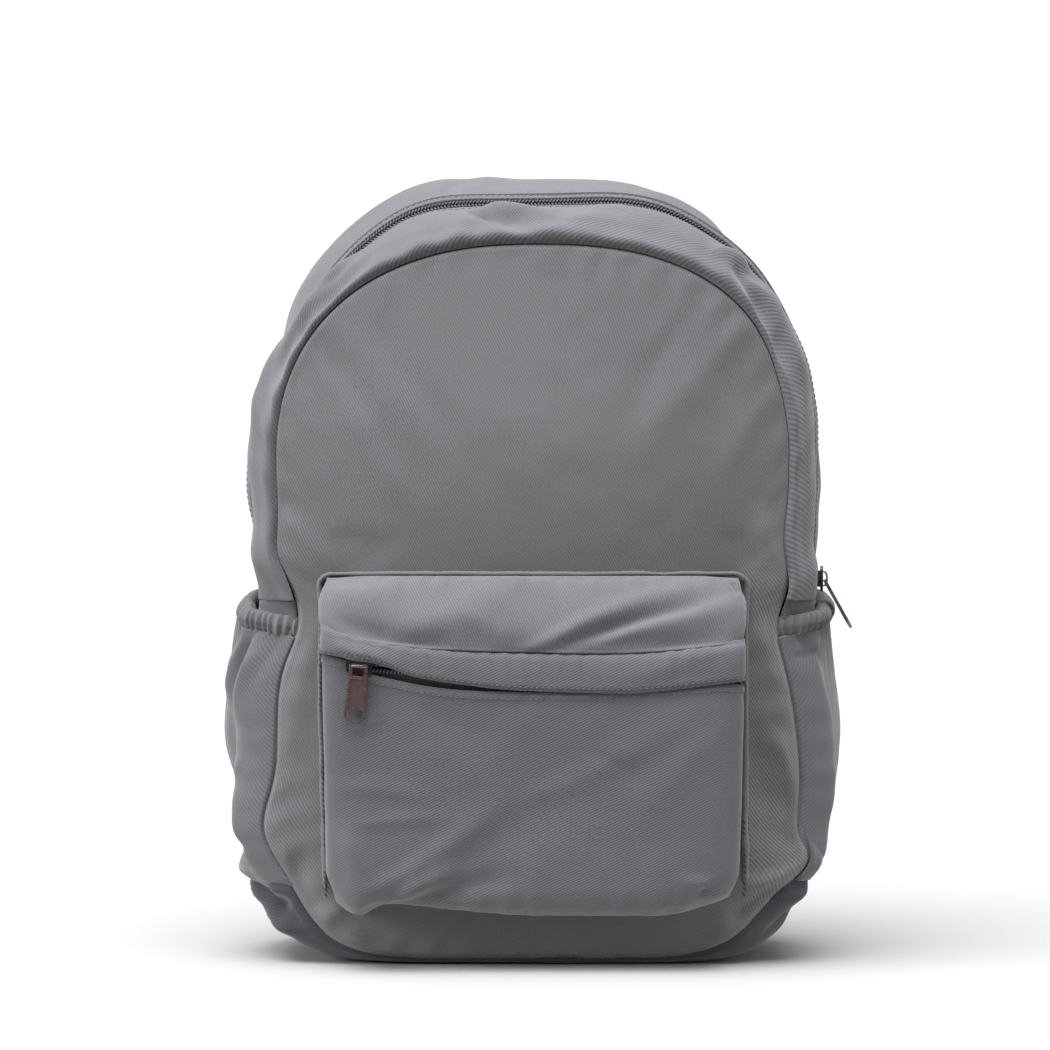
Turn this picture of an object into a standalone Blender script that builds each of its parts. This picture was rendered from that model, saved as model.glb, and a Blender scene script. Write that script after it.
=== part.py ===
"""Fabric daypack with a fold-forward front, a zipped box pocket and two elastic side pockets.

Metres, +Z up, the front faces -Y, +X is the viewer's right when looking at the front.
"""

import math

import bmesh
import bpy
import numpy as np
from mathutils import Vector
from mathutils.geometry import tessellate_polygon

# Bag outline: half-width, top and bottom against depth y.
FRONT_Y, ZIP_Y, BACK_Y = -0.052, -0.012, 0.073
HALF_WIDTH = ((-0.052, 0.139), (-0.040, 0.149), (-0.025, 0.1545), (-0.012, 0.157),
              (0.010, 0.159), (0.033, 0.159), (0.055, 0.156), (0.073, 0.149))
TOP_Z = ((-0.052, 0.388), (-0.040, 0.400), (-0.025, 0.4075), (-0.012, 0.412),
         (0.010, 0.4225), (0.033, 0.4290), (0.055, 0.4290), (0.073, 0.424))
BOTTOM_Z = ((-0.052, 0.012), (-0.045, 0.0045), (-0.036, 0.0), (0.055, 0.0), (0.073, 0.007))
SPRING_Z = 0.27  # height where the straight sides turn into the arch
ARCH_POWER, BASE_POWER = 2.3, 8.0
SIDE_TUCK, TUCK_TOP_Z, TUCK_SPAN = 0.055, 0.20, 0.05  # lower sides drawn in behind the side pockets
WAIST, WAIST_Z, WAIST_SPAN, WAIST_FADE_Y = 0.07, 0.195, 0.035, -0.026

CLOTH = 0.0016
GAP = 0.0004
FOLD_Z = 0.216  # line the open front folds forward on
ZIP_END_Z = 0.1955
BASE_SEAM_Z = 0.045
FRONT_DOME = 0.014
LID_AXIS = (0.0, -0.0664, FOLD_Z)  # the fold, just clear of the front panel's face

# Main zip: two coil rows on tapes, either side of a slot the slider's neck runs in.
SLOT = 0.0006
COIL_EDGE = 0.0030
TAPE_EDGE = 0.0100
COIL_TOP, COIL_BOTTOM, TAPE_TOP = -0.0002, 0.0028, 0.0023  # depths below the cloth's surface
SLIDER_Z = 0.2067

# Front pocket
POCKET_HALF = 0.1115
POCKET_TOP_Z, POCKET_LOW_Z = 0.209, 0.031
POCKET_FACE_Y, POCKET_SEAT = -0.1040, 0.0036  # front of the pocket, and how far its edge lies off the panel
FLAP_TOP_Z, FLAP_LIFT, FLAP_DROP = 0.1725, 0.0012, 0.0030  # clears the slider, drops at mid-width
POCKET_ZIP_Y = POCKET_FACE_Y
POCKET_ZIP_LEFT, POCKET_ZIP_RIGHT = (-0.098, 0.1630), (0.098, 0.1475)
POCKET_SLIDER_X = -0.0905
FLAP_ROLL = ((0.0, 0.0005), (0.2, 0.0047), (0.42, 0.0072), (0.7, 0.0080), (1.0, 0.0075))
FLAT_POWER, ROUND_POWER = 18.0, 9.0  # how squarely the pocket turns at its sides, at the zip and at its foot

# Side pockets
SIDE_FRONT_Y, SIDE_BACK_Y = -0.049, 0.070
SIDE_LOW_Z, SIDE_MOUTH_Z = 0.046, 0.184
SIDE_CLOTH = 0.0012
ELASTIC_THICK, ELASTIC_TALL = 0.0030, 0.0090

# Back
PANEL_THICK = 0.012
YOKE_LOW_Z, YOKE_TOP_Z, YOKE_HALF = 0.366, 0.404, 0.092
STRAP_THICK = 0.011
STRAP_PATH = ((0.058, 0.0940, 0.3635, 0.050), (0.060, 0.1010, 0.330, 0.054), (0.067, 0.1045, 0.280, 0.058),
              (0.079, 0.1040, 0.230, 0.056), (0.094, 0.1015, 0.182, 0.050), (0.104, 0.0995, 0.148, 0.040))
WEB_WIDE, WEB_THICK = 0.025, 0.0016
LOOP_HALF, LOOP_TOP_Z, LOOP_DROP, LOOP_WIDE = 0.026, 0.396, 0.040, 0.015

# Sliders and pullers
SLIDER_LONG, SLIDER_WIDE, PLATE = 0.0140, 0.0090, 0.0013
BAIL_RISE, BAIL_THICK, BAIL_WIDE, BAIL_LONG = 0.0024, 0.0010, 0.0016, 0.0090
PULLER_THICK = 0.0014
PULLER_WIDE, PULLER_LONG = 0.0110, 0.0360
MAIN_PULLER_TILT = math.radians(29)
MAIN_PULLER_LONG = 0.0300

GREY, LIGHT_GREY, DARK = (0.105, 0.108, 0.118), (0.130, 0.135, 0.146), (0.030, 0.030, 0.034)
COIL_GREY, BRONZE, BLACK = (0.075, 0.077, 0.085), (0.110, 0.085, 0.078), (0.012, 0.012, 0.013)


def smooth(t):
    t = min(1.0, max(0.0, t))
    return t * t * (3 - 2 * t)


def along(knots, at):
    """Value of a smooth curve through (position, value) knots."""
    places = [k[0] for k in knots]
    at = min(places[-1], max(places[0], at))
    i = min(len(knots) - 2, max(0, int(np.searchsorted(places, at, side="right")) - 1))
    slopes = []
    for j in (i, i + 1):
        low, high = max(0, j - 1), min(len(knots) - 1, j + 1)
        left = (knots[j][1] - knots[low][1]) / max(1e-9, knots[j][0] - knots[low][0])
        right = (knots[high][1] - knots[j][1]) / max(1e-9, knots[high][0] - knots[j][0])
        if low == j or high == j:
            slopes.append(right if low == j else left)
        else:
            slopes.append(0.0 if left * right <= 0 else 2 * left * right / (left + right))
    (x0, v0), (x1, v1) = knots[i][:2], knots[i + 1][:2]
    t, h = (at - x0) / (x1 - x0), x1 - x0
    return ((1 + 2 * t) * (1 - t) ** 2 * v0 + t * (1 - t) ** 2 * h * slopes[0]
            + t * t * (3 - 2 * t) * v1 + t * t * (t - 1) * h * slopes[1])


def drawn_in(y, z):
    """How much of its full width the bag keeps at a height."""
    tuck = SIDE_TUCK * smooth((TUCK_TOP_Z - z) / TUCK_SPAN)
    waist = WAIST * smooth((WAIST_FADE_Y - y) / (WAIST_FADE_Y - FRONT_Y))
    waist *= math.exp(-(((z - WAIST_Z) / WAIST_SPAN) ** 2))
    return 1 - max(tuck * smooth((y - FRONT_Y) / 0.03), waist)


def side_x(y, z):
    """Half-width of the bag's outline at a depth and height."""
    if z >= SPRING_Z:
        part, power = (z - SPRING_Z) / (along(TOP_Z, y) - SPRING_Z), ARCH_POWER
    else:
        part, power = (SPRING_Z - z) / (SPRING_Z - along(BOTTOM_Z, y)), BASE_POWER
    return along(HALF_WIDTH, y) * max(0.0, 1 - min(1.0, part) ** power) ** (1 / power) * drawn_in(y, z)


def even(points, count):
    """A polyline resampled to evenly spaced points."""
    points = np.asarray(points, float)
    run = np.concatenate([[0], np.cumsum(np.linalg.norm(np.diff(points, axis=0), axis=1))])
    at = np.linspace(0, run[-1], count)
    return np.stack([np.interp(at, run, points[:, k]) for k in range(points.shape[1])], axis=1)


def arch(y, z_from, count):
    """(x, z) over the top of the bag at depth y, right to left."""
    top, wide = along(TOP_Z, y), along(HALF_WIDTH, y)
    angles = np.linspace(0, math.pi / 2, 60)
    curve = [(wide * math.cos(a) ** (2 / ARCH_POWER),
              SPRING_Z + (top - SPRING_Z) * math.sin(a) ** (2 / ARCH_POWER)) for a in angles]
    right = [(side_x(y, z), z) for z in np.linspace(z_from, SPRING_Z, 16)[:-1]] + curve
    right[-1] = (0.0, top)
    return even(right + [(-x, z) for x, z in right[-2::-1]], count)


def trough(y, z_from, count):
    """(x, z) under the base of the bag at depth y, left to right."""
    low, wide = along(BOTTOM_Z, y), along(HALF_WIDTH, y)
    angles = np.linspace(0, math.pi / 2, 240)
    curve = []
    for a in angles:
        z = SPRING_Z - (SPRING_Z - low) * math.sin(a) ** (2 / BASE_POWER)
        curve.append((wide * math.cos(a) ** (2 / BASE_POWER) * drawn_in(y, z), z))
    curve[-1] = (0.0, low)
    kept = [(side_x(y, z_from), z_from)] + [p for p in curve if p[1] < z_from - 1e-5]
    return even([(-x, z) for x, z in kept] + kept[-2::-1], count)


def material(name, colour, roughness, metallic=0.0):
    made = bpy.data.materials.new(name)
    made.use_nodes = True
    shader = made.node_tree.nodes["Principled BSDF"]
    shader.inputs["Base Color"].default_value = (*colour, 1)
    shader.inputs["Roughness"].default_value = roughness
    shader.inputs["Metallic"].default_value = metallic
    made.diffuse_color = (*colour, 1)
    return made


def add(name, points, faces, look, origin=(0, 0, 0)):
    """A closed body from points in world coordinates, with its own origin."""
    origin = Vector(origin)
    mesh = bpy.data.meshes.new(name)
    mesh.from_pydata([Vector(p) - origin for p in points], [], faces)
    built = bmesh.new()
    built.from_mesh(mesh)
    bmesh.ops.remove_doubles(built, verts=built.verts, dist=1e-6)
    bmesh.ops.dissolve_degenerate(built, edges=built.edges, dist=1e-7)
    bmesh.ops.recalc_face_normals(built, faces=built.faces)
    for face in built.faces:
        face.smooth = True
    built.to_mesh(mesh)
    built.free()
    thing = bpy.data.objects.new(name, mesh)
    thing.location = origin
    bpy.context.scene.collection.objects.link(thing)
    colour, roughness, metallic = look
    mesh.materials.append(material(name, colour, roughness, metallic))
    return thing


def grid_normals(grid):
    """Unit normals of a grid of points, pointing along (d/di) x (d/dj)."""
    di, dj = np.gradient(grid, axis=0), np.gradient(grid, axis=1)
    normals = np.cross(di, dj)
    return normals / np.maximum(1e-12, np.linalg.norm(normals, axis=2, keepdims=True))


def two_skins(name, outer, inner, look, origin=(0, 0, 0)):
    """A closed body between two matching grids of points."""
    rows, cols = outer.shape[:2]
    points = np.concatenate([outer.reshape(-1, 3), inner.reshape(-1, 3)])
    half = rows * cols
    faces = []
    for i in range(rows - 1):
        for j in range(cols - 1):
            a, b, c, d = i * cols + j, (i + 1) * cols + j, (i + 1) * cols + j + 1, i * cols + j + 1
            faces += [(a, b, c, d), (half + d, half + c, half + b, half + a)]
    rim = ([(0, j) for j in range(cols)] + [(i, cols - 1) for i in range(1, rows)]
           + [(rows - 1, j) for j in range(cols - 2, -1, -1)] + [(i, 0) for i in range(rows - 2, 0, -1)])
    ids = [i * cols + j for i, j in rim]
    for a, b in zip(ids, ids[1:] + ids[:1]):
        faces.append((a, b, half + b, half + a))
    return add(name, points, faces, look, origin)


def sheet(name, grid, thick, look, outward, origin=(0, 0, 0)):
    """Cloth of a thickness under an outer grid; outward tells which way its face looks at its middle."""
    normals = grid_normals(grid)
    middle = normals[grid.shape[0] // 2, grid.shape[1] // 2]
    if np.dot(middle, outward) < 0:
        normals = -normals
    return two_skins(name, grid, grid - normals * thick, look, origin)


def tube(name, rings, look, origin=(0, 0, 0)):
    """A closed body through matching rings of points, with flat ends."""
    count, size = len(rings), len(rings[0])
    points = [p for ring in rings for p in ring]
    faces = [tuple(range(size)), tuple(range((count - 1) * size, count * size))]
    for i in range(count - 1):
        for j in range(size):
            k = (j + 1) % size
            faces.append((i * size + j, i * size + k, (i + 1) * size + k, (i + 1) * size + j))
    return add(name, points, faces, look, origin)


def plate(name, loops, thick, place, look, origin=(0, 0, 0)):
    """A flat plate: the first loop is its edge, the others are holes; place maps (u, v, w) to the world."""
    flat = [Vector((u, v, 0)) for loop in loops for u, v in loop]
    triangles = tessellate_polygon([[Vector((u, v, 0)) for u, v in loop] for loop in loops])
    count = len(flat)
    points = [place(p.x, p.y, thick / 2) for p in flat] + [place(p.x, p.y, -thick / 2) for p in flat]
    faces = [tuple(t) for t in triangles] + [tuple(count + k for k in reversed(t)) for t in triangles]
    start = 0
    for loop in loops:
        for k in range(len(loop)):
            a, b = start + k, start + (k + 1) % len(loop)
            faces.append((a, b, count + b, count + a))
        start += len(loop)
    return add(name, points, faces, look, origin)


def join(base, tools):
    for tool in tools:
        step = base.modifiers.new(tool.name, "BOOLEAN")
        step.operation, step.solver, step.object = "UNION", "EXACT", tool
        tool.hide_render = True
        tool.display_type = "WIRE"
    return base


def rounded(half_u, half_v, radius, steps=4, centre=(0.0, 0.0)):
    """Corner points of a rounded rectangle, anticlockwise."""
    loop = []
    for k, (su, sv) in enumerate(((1, 1), (-1, 1), (-1, -1), (1, -1))):
        for s in range(steps + 1):
            a = math.radians(90 * (k + s / steps))
            loop.append((centre[0] + su * (half_u - radius) + radius * math.cos(a),
                         centre[1] + sv * (half_v - radius) + radius * math.sin(a)))
    return loop


FABRIC, LIGHT_FABRIC = (GREY, 0.9, 0.0), (LIGHT_GREY, 0.9, 0.0)
DARK_FABRIC, COIL = (DARK, 0.9, 0.0), (COIL_GREY, 0.5, 0.0)
METAL, PLASTIC = (BRONZE, 0.35, 0.9), (BLACK, 0.45, 0.0)


def outline_cloth(name, curve, z_from, depths, count, look, origin=(0, 0, 0)):
    """A strip of the bag's rim between two depths."""
    grid = np.array([[(x, y, z) for x, z in curve(y, z_from, count)] for y in depths])
    grid = grid.transpose(1, 0, 2)
    outward = (0, 0, 1) if curve is arch else (0, 0, -1)
    return sheet(name, grid, CLOTH, look, outward, origin)


def ribbon(name, z_from, section, count, look, origin=(0, 0, 0)):
    """A long piece that follows the arch, with a section of (y, depth below the cloth's surface)."""
    step = 0.0004
    rings = []
    at, ahead = ({y: arch(y + d, z_from, count) for y, _ in section} for d in (0, step))
    run = {y: np.gradient(at[y], axis=0) for y in at}
    for k in range(count):
        ring = []
        for y, depth in section:
            x, z = at[y][k]
            dx, dz = run[y][k]
            across = np.array([ahead[y][k][0] - x, step, ahead[y][k][1] - z])
            normal = np.cross(np.array([dx, 0, dz]), across)
            normal /= np.linalg.norm(normal)
            if normal[0] * x + normal[2] * (z - 0.2) < 0:
                normal = -normal
            ring.append(np.array([x, y, z]) - normal * depth)
        rings.append(ring)
    return tube(name, rings, look, origin)


def dome_y(x, z):
    """Outer face of the front panel."""
    low, top = along(BOTTOM_Z, FRONT_Y), along(TOP_Z, FRONT_Y)
    if z >= SPRING_Z:
        power, part = ARCH_POWER, (z - SPRING_Z) / (top - SPRING_Z)
    else:
        power, part = 4.0, (SPRING_Z - z) / (SPRING_Z - low)
    wide = abs(x) / (along(HALF_WIDTH, FRONT_Y) * drawn_in(FRONT_Y, z))
    reach = min(1.0, (wide ** power + part ** power) ** (1 / power))
    return FRONT_Y - FRONT_DOME * (1 - reach ** 2.2)


def domed(name, edge, straight_z, look, origin=(0, 0, 0)):
    """A front panel between a curved edge and a straight fold line."""
    rows, count = 7, len(edge)
    inset = 0.0008
    grid = np.zeros((rows, count, 3))
    for j, (ex, ez) in enumerate(edge):
        shrink = 1 - inset / max(0.05, math.hypot(ex, ez - SPRING_Z))
        ex, ez = ex * shrink, SPRING_Z + (ez - SPRING_Z) * shrink
        for i in range(rows):
            t = i / (rows - 1)
            fold_x = edge[0][0] * (1 - 2 * j / (count - 1)) * shrink
            x, z = fold_x + (ex - fold_x) * t, straight_z + (ez - straight_z) * t
            if j in (0, count - 1):
                z = straight_z + (0.004 * t if ez > straight_z - 0.001 and edge[count // 2][1] > straight_z
                                  else -0.004 * t)
            grid[i, j] = (x, dome_y(x, z) - 0.0006, z)
    return two_skins(name, grid, grid + np.array([0, CLOTH, 0]), look, origin)


def bag_shell():
    front_edge, zip_front, zip_rear = FRONT_Y + CLOTH + GAP, ZIP_Y - COIL_EDGE - GAP, ZIP_Y + COIL_EDGE + GAP
    front_depths = (front_edge, -0.044, -0.037, -0.026, zip_front)
    outline_cloth("zip_gusset_front", arch, FOLD_Z + GAP, front_depths, 41, LIGHT_FABRIC,
                  LID_AXIS)
    rear_depths = (zip_rear, 0.0, 0.010, 0.026, 0.046, 0.060, BACK_Y)
    outline_cloth("zip_gusset_rear", arch, ZIP_END_Z + GAP, rear_depths, 45, LIGHT_FABRIC)
    base_depths = (front_edge, -0.045, -0.036, 0.0, 0.055, BACK_Y)
    outline_cloth("base_panel", trough, BASE_SEAM_Z, base_depths, 45, DARK_FABRIC)
    side_depths = (front_edge, -0.038, -0.026, 0.0, 0.03, 0.055, BACK_Y)
    for side, word in ((-1, "left"), (1, "right")):
        patch = np.array([[(side * side_x(y, z), y, z) for y in side_depths]
                          for z in np.linspace(BASE_SEAM_Z + GAP, ZIP_END_Z - GAP, 9)])
        sheet("side_gusset_" + word, patch, CLOTH, FABRIC, (side, 0, 0))
        stub = np.array([[(side * side_x(y, z), y, z) for y in front_depths]
                         for z in np.linspace(ZIP_END_Z + GAP, FOLD_Z - GAP, 4)])
        sheet("gusset_end_" + word, stub, CLOTH, LIGHT_FABRIC, (side, 0, 0))
    domed("front_panel_upper", arch(FRONT_Y, FOLD_Z + GAP, 31), FOLD_Z + GAP, FABRIC, LID_AXIS)
    domed("front_panel_lower", trough(FRONT_Y, FOLD_Z - GAP, 41), FOLD_Z - GAP, FABRIC)


def side_normal(y, z):
    """Outward normal of the bag's right side, taken in the horizontal plane."""
    slope = (side_x(y + 0.0004, z) - side_x(y - 0.0004, z)) / 0.0008
    return np.array([1.0, -slope, 0.0]) / math.hypot(1.0, slope)


def side_point(side, y, z, depth):
    """A point below the surface of the bag's side."""
    x, y, z = np.array([side_x(y, z), y, z]) - side_normal(y, z) * depth
    return (side * x, y, z)


def coil_section(sign):
    """Section of one coil row and its tape; sign is +1 behind the slot and -1 in front of it."""
    return [(ZIP_Y + sign * SLOT, COIL_TOP), (ZIP_Y + sign * COIL_EDGE, COIL_TOP),
            (ZIP_Y + sign * COIL_EDGE, TAPE_TOP), (ZIP_Y + sign * TAPE_EDGE, TAPE_TOP),
            (ZIP_Y + sign * TAPE_EDGE, COIL_BOTTOM), (ZIP_Y + sign * SLOT, COIL_BOTTOM)]


def main_zip():
    ribbon("zip_coil_front", FOLD_Z + GAP, coil_section(-1), 41, COIL, LID_AXIS)
    ribbon("zip_coil_rear", ZIP_END_Z + GAP, coil_section(1), 45, COIL)
    for side, word in ((-1, "left"), (1, "right")):
        rings = []
        for z in (ZIP_END_Z + GAP, 0.206, FOLD_Z - GAP):
            rings.append([side_point(side, y, z, depth) for y, depth in coil_section(-1)])
        tube("zip_stub_" + word, rings, COIL)


def slider_body(name, centre, along_z, out, look):
    """Slider on a zip: plates across out, neck along the chain. Returns the height of its face."""
    centre, out = Vector(centre), Vector(out)
    chain = Vector(along_z)
    across = out.cross(chain)

    def block(title, half_chain, half_across, low, high, slide=0.0):
        spots = []
        for w in (low, high):
            for u, v in ((-1, -1), (1, -1), (1, 1), (-1, 1)):
                spots.append(centre + chain * (u * half_chain + slide) + across * v * half_across + out * w)
        faces = [(0, 3, 2, 1), (4, 5, 6, 7), (0, 1, 5, 4), (1, 2, 6, 5), (2, 3, 7, 6), (3, 0, 4, 7)]
        return add(title, spots, faces, look, centre)

    outer_low, inner_high = 0.0005, -COIL_BOTTOM - 0.0003
    body = block(name, SLIDER_LONG / 2, SLIDER_WIDE / 2, outer_low, outer_low + PLATE)
    inner = block(name + "_under", SLIDER_LONG / 2 - 0.0006, SLIDER_WIDE / 2 - 0.0004,
                  inner_high - PLATE, inner_high)
    neck = block(name + "_neck", SLIDER_LONG / 2 - 0.0022, 0.00035, inner_high - 0.0006, outer_low + 0.0006)
    return join(body, [neck, inner]), outer_low + PLATE


def bail(name, foot, out, lift, look):
    """Staple over the slider that the puller hangs from; it stands along lift and rises along out."""
    foot, out, lift = Vector(foot), Vector(out), Vector(lift)
    side = out.cross(lift)
    half, rise, thick = BAIL_LONG / 2, BAIL_RISE, BAIL_THICK
    edge = [(-half, -0.0005), (-half, rise * 0.55), (-half + 0.0016, rise + thick),
            (half - 0.0016, rise + thick), (half, rise * 0.55), (half, -0.0005),
            (half - 0.0014, -0.0005), (half - 0.0014, rise * 0.5), (half - 0.0024, rise),
            (-half + 0.0024, rise), (-half + 0.0014, rise * 0.5), (-half + 0.0014, -0.0005)]
    return plate(name, [edge], BAIL_WIDE, lambda u, v, w: foot + lift * u + out * v + side * w, look, foot)


def puller(name, pivot, hang, flat, wide, long, look):
    """Puller hanging from its pivot: a frame at the bail, a flat grip, and an open loop at its end."""
    pivot, hang, flat = Vector(pivot), Vector(hang), Vector(flat)
    across = flat.cross(hang)
    head, grip = 0.0072, wide / 2
    edge = rounded(grip, long / 2, 0.0022, 4, (0.0, long / 2 - PULLER_THICK / 2))
    window = rounded(0.0031, head / 2, 0.0008, 2, (0.0, PULLER_THICK / 2 + head / 2))
    hole_long = long * 0.30
    hole = rounded(grip - 0.0026, hole_long / 2, 0.0024, 4, (0.0, long - 0.0032 - hole_long / 2))
    return plate(name, [edge, window, hole], PULLER_THICK,
                 lambda u, v, w: pivot + across * u + hang * v + flat * w, look, pivot)


def main_slider():
    centre = Vector((side_x(ZIP_Y, SLIDER_Z), ZIP_Y, SLIDER_Z))
    out, up = Vector(side_normal(ZIP_Y, SLIDER_Z)), Vector((0, 0, 1))
    body, face = slider_body("main_slider", centre, up, out, METAL)
    foot = centre + out * face
    staple = bail("main_slider_bail", foot, out, up, METAL)
    join(body, [staple])
    pivot = foot + out * (BAIL_RISE / 2) - up * 0.0012
    hang = out * math.sin(MAIN_PULLER_TILT) - up * math.cos(MAIN_PULLER_TILT)
    flat = out * math.cos(MAIN_PULLER_TILT) + up * math.sin(MAIN_PULLER_TILT)
    puller("main_puller", pivot, hang, flat, PULLER_WIDE, MAIN_PULLER_LONG, METAL)


def zip_z(x):
    """Height of the pocket's zip at a place across it."""
    (x0, z0), (x1, z1) = POCKET_ZIP_LEFT, POCKET_ZIP_RIGHT
    return z0 + (z1 - z0) * (x - x0) / (x1 - x0)


def flap_edge(x):
    """Height of the flap's free edge: it clears the slider at rest and drops over the zip further on."""
    return zip_z(x) + FLAP_LIFT - FLAP_DROP * smooth((x + 0.080) / 0.080)


def pocket_row(half, stand, face_y, height, count, power):
    """One level of the pocket: out from the panel, across its face and back; height is a function of x."""
    angles = np.linspace(0, math.pi, 240)
    curve = []
    for a in angles:
        x = -half * math.copysign(abs(math.cos(a)) ** (2 / power), math.cos(a))
        seat = dome_y(x, height(x)) - POCKET_SEAT
        curve.append((x, seat + (face_y - seat) * stand * math.sin(a) ** (2 / power)))
    return [(x, y, height(x)) for x, y in even(curve, count)]


def pocket_body():
    count = 33
    slope = ((POCKET_TOP_Z, 0.02), (0.2060, 0.20), (0.1980, 0.42), (0.1880, 0.63), (0.1800, 0.80),
             (FLAP_TOP_Z + GAP, 0.92))
    rows = [pocket_row(POCKET_HALF - 0.0004 - 0.0056 * smooth((z - 0.2030) / 0.0055), stand, POCKET_FACE_Y,
                       lambda x, z=z: z, count, ROUND_POWER) for z, stand in slope]
    sheet("pocket_top", np.array(rows), CLOTH, LIGHT_FABRIC, (0, -1, 0.5))
    rows = [pocket_row(POCKET_HALF, 1.0, POCKET_FACE_Y - roll,
                           lambda x, t=t: FLAP_TOP_Z - GAP + (flap_edge(x) - FLAP_TOP_Z + GAP) * t,
                       count, FLAT_POWER) for t, roll in FLAP_ROLL]
    sheet("pocket_flap", np.array(rows), CLOTH, FABRIC, (0, -1, 0))
    profile = ((0.0, 0.02), (0.006, 0.35), (0.020, 0.62), (0.06, 0.85), (0.14, 0.96), (0.32, 1.0),
               (0.62, 1.0), (0.86, 1.0), (1.0, 1.0))
    rows = []
    for t, stand in profile:
        narrow = 0.0020 + 0.0060 * (1 - smooth(t * 8))
        rows.append(pocket_row(POCKET_HALF - narrow, stand, POCKET_FACE_Y,
                               lambda x, t=t: POCKET_LOW_Z + (zip_z(x) - COIL_EDGE - GAP - POCKET_LOW_Z) * t,
                               count, ROUND_POWER + (FLAT_POWER - ROUND_POWER) * smooth(t * 1.6)))
    sheet("pocket_face", np.array(rows), CLOTH, FABRIC, (0, -1, 0))


def pocket_binding():
    """Stitched seam allowance round the pocket, lying on the front panel."""
    outer, inner = POCKET_HALF + 0.0040, POCKET_HALF + 0.0006
    low, high = POCKET_LOW_Z + 0.006, POCKET_TOP_Z + 0.0016
    centre, half = (low + high) / 2, (high - low) / 2

    def strip(half_x, half_z, radius):
        return [(u, v) for u, v in rounded(half_x, half_z, radius, 6, (0.0, centre)) if v > centre]

    path_out, path_in = strip(outer, half + 0.0034, 0.0075), strip(inner, half, 0.0045)
    path_out = even([(outer, low)] + path_out[:len(path_out)] + [(-outer, low)], 41)
    path_in = even([(inner, low)] + path_in[:len(path_in)] + [(-inner, low)], 41)
    rings = []
    for (x0, z0), (x1, z1) in zip(path_out, path_in):
        lift, front = -0.0019, -0.0012
        rings.append([(x0, dome_y(x0, z0) + lift, z0), (x0, dome_y(x0, z0) + lift + front, z0),
                      (x1, dome_y(x1, z1) + lift + front, z1), (x1, dome_y(x1, z1) + lift, z1)])
    tube("pocket_binding", rings, FABRIC)


def pocket_zip():
    (x0, z0), (x1, z1) = POCKET_ZIP_LEFT, POCKET_ZIP_RIGHT
    chain = Vector((x1 - x0, 0, z1 - z0)).normalized()
    up = Vector((-chain.z, 0, chain.x))
    out = Vector((0, -1, 0))
    for sign, name, tape in ((1, "pocket_coil_upper", 0.0095), (-1, "pocket_coil_lower", 0.0090)):
        section = [(SLOT, -COIL_TOP), (COIL_EDGE, -COIL_TOP), (COIL_EDGE, -TAPE_TOP), (tape, -TAPE_TOP),
                   (tape, -COIL_BOTTOM), (SLOT, -COIL_BOTTOM)]
        rings = []
        for x, z in (POCKET_ZIP_LEFT, POCKET_ZIP_RIGHT):
            foot = Vector((x, POCKET_ZIP_Y, z))
            rings.append([foot + up * sign * u + out * w for u, w in section])
        tube(name, rings, COIL)
    centre = Vector((POCKET_SLIDER_X, POCKET_ZIP_Y, zip_z(POCKET_SLIDER_X)))
    body, face = slider_body("pocket_slider", centre, chain, out, METAL)
    foot = centre + out * face
    staple = bail("pocket_slider_bail", foot, out, (0, 0, 1), METAL)
    join(body, [staple])
    pivot = foot + out * (BAIL_RISE / 2) + Vector((0, 0, -0.0012))
    puller("pocket_puller", pivot, (0, 0, -1), out, PULLER_WIDE, PULLER_LONG, METAL)


def pocket_bulge(t, w):
    """How far a side pocket stands off the bag: t from base to mouth, w from front seam to back seam."""
    full = along(((0.0, 0.0030), (0.15, 0.0130), (0.45, 0.0212), (0.75, 0.0175), (1.0, 0.0094)), t)
    edge = 0.0034
    return edge + (full - edge) * math.sin(math.pi * min(1.0, max(0.0, w))) ** 0.6


def side_pocket(side, word):
    rows, cols = 10, 13
    grid = np.zeros((rows, cols, 3))
    for i in range(rows):
        t = i / (rows - 1)
        z = SIDE_LOW_Z + (SIDE_MOUTH_Z - SIDE_LOW_Z) * t
        for j in range(cols):
            w = j / (cols - 1)
            y = SIDE_FRONT_Y + (SIDE_BACK_Y - SIDE_FRONT_Y) * w
            grid[i, j] = (side * (side_x(y, z) + pocket_bulge(t, w)), y, z)
    sheet("side_pocket_" + word, grid, SIDE_CLOTH, FABRIC, (side, 0, 0))
    rings = []
    for w in np.linspace(0.0, 1.0, 15):
        y = SIDE_FRONT_Y + (SIDE_BACK_Y - SIDE_FRONT_Y) * w
        z = SIDE_MOUTH_Z + GAP + ELASTIC_TALL / 2
        x = side_x(y, z) + max(pocket_bulge(1.0, w), ELASTIC_THICK + 0.0026)
        ring = []
        for k in range(10):
            a = 2 * math.pi * k / 10
            ring.append((side * (x - ELASTIC_THICK / 2 + ELASTIC_THICK / 2 * math.cos(a)), y,
                         z + ELASTIC_TALL / 2 * math.sin(a)))
        rings.append(ring)
    tube("elastic_" + word, rings, FABRIC)


def back_panel():
    face = BACK_Y + 0.0005
    loops = []
    for y, shrink in ((face, 0.0006), (face + PANEL_THICK * 0.6, 0.0040), (face + PANEL_THICK, 0.0160)):
        over = arch(BACK_Y, 0.12, 33)
        under = trough(BACK_Y, 0.12, 33)[1:-1]
        ring = []
        for x, z in [*over, *under]:
            reach = math.hypot(x, z - 0.22)
            keep = (reach - shrink) / reach
            ring.append((x * keep, y, 0.22 + (z - 0.22) * keep))
        loops.append(ring)
    tube("back_panel", loops, FABRIC)


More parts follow.
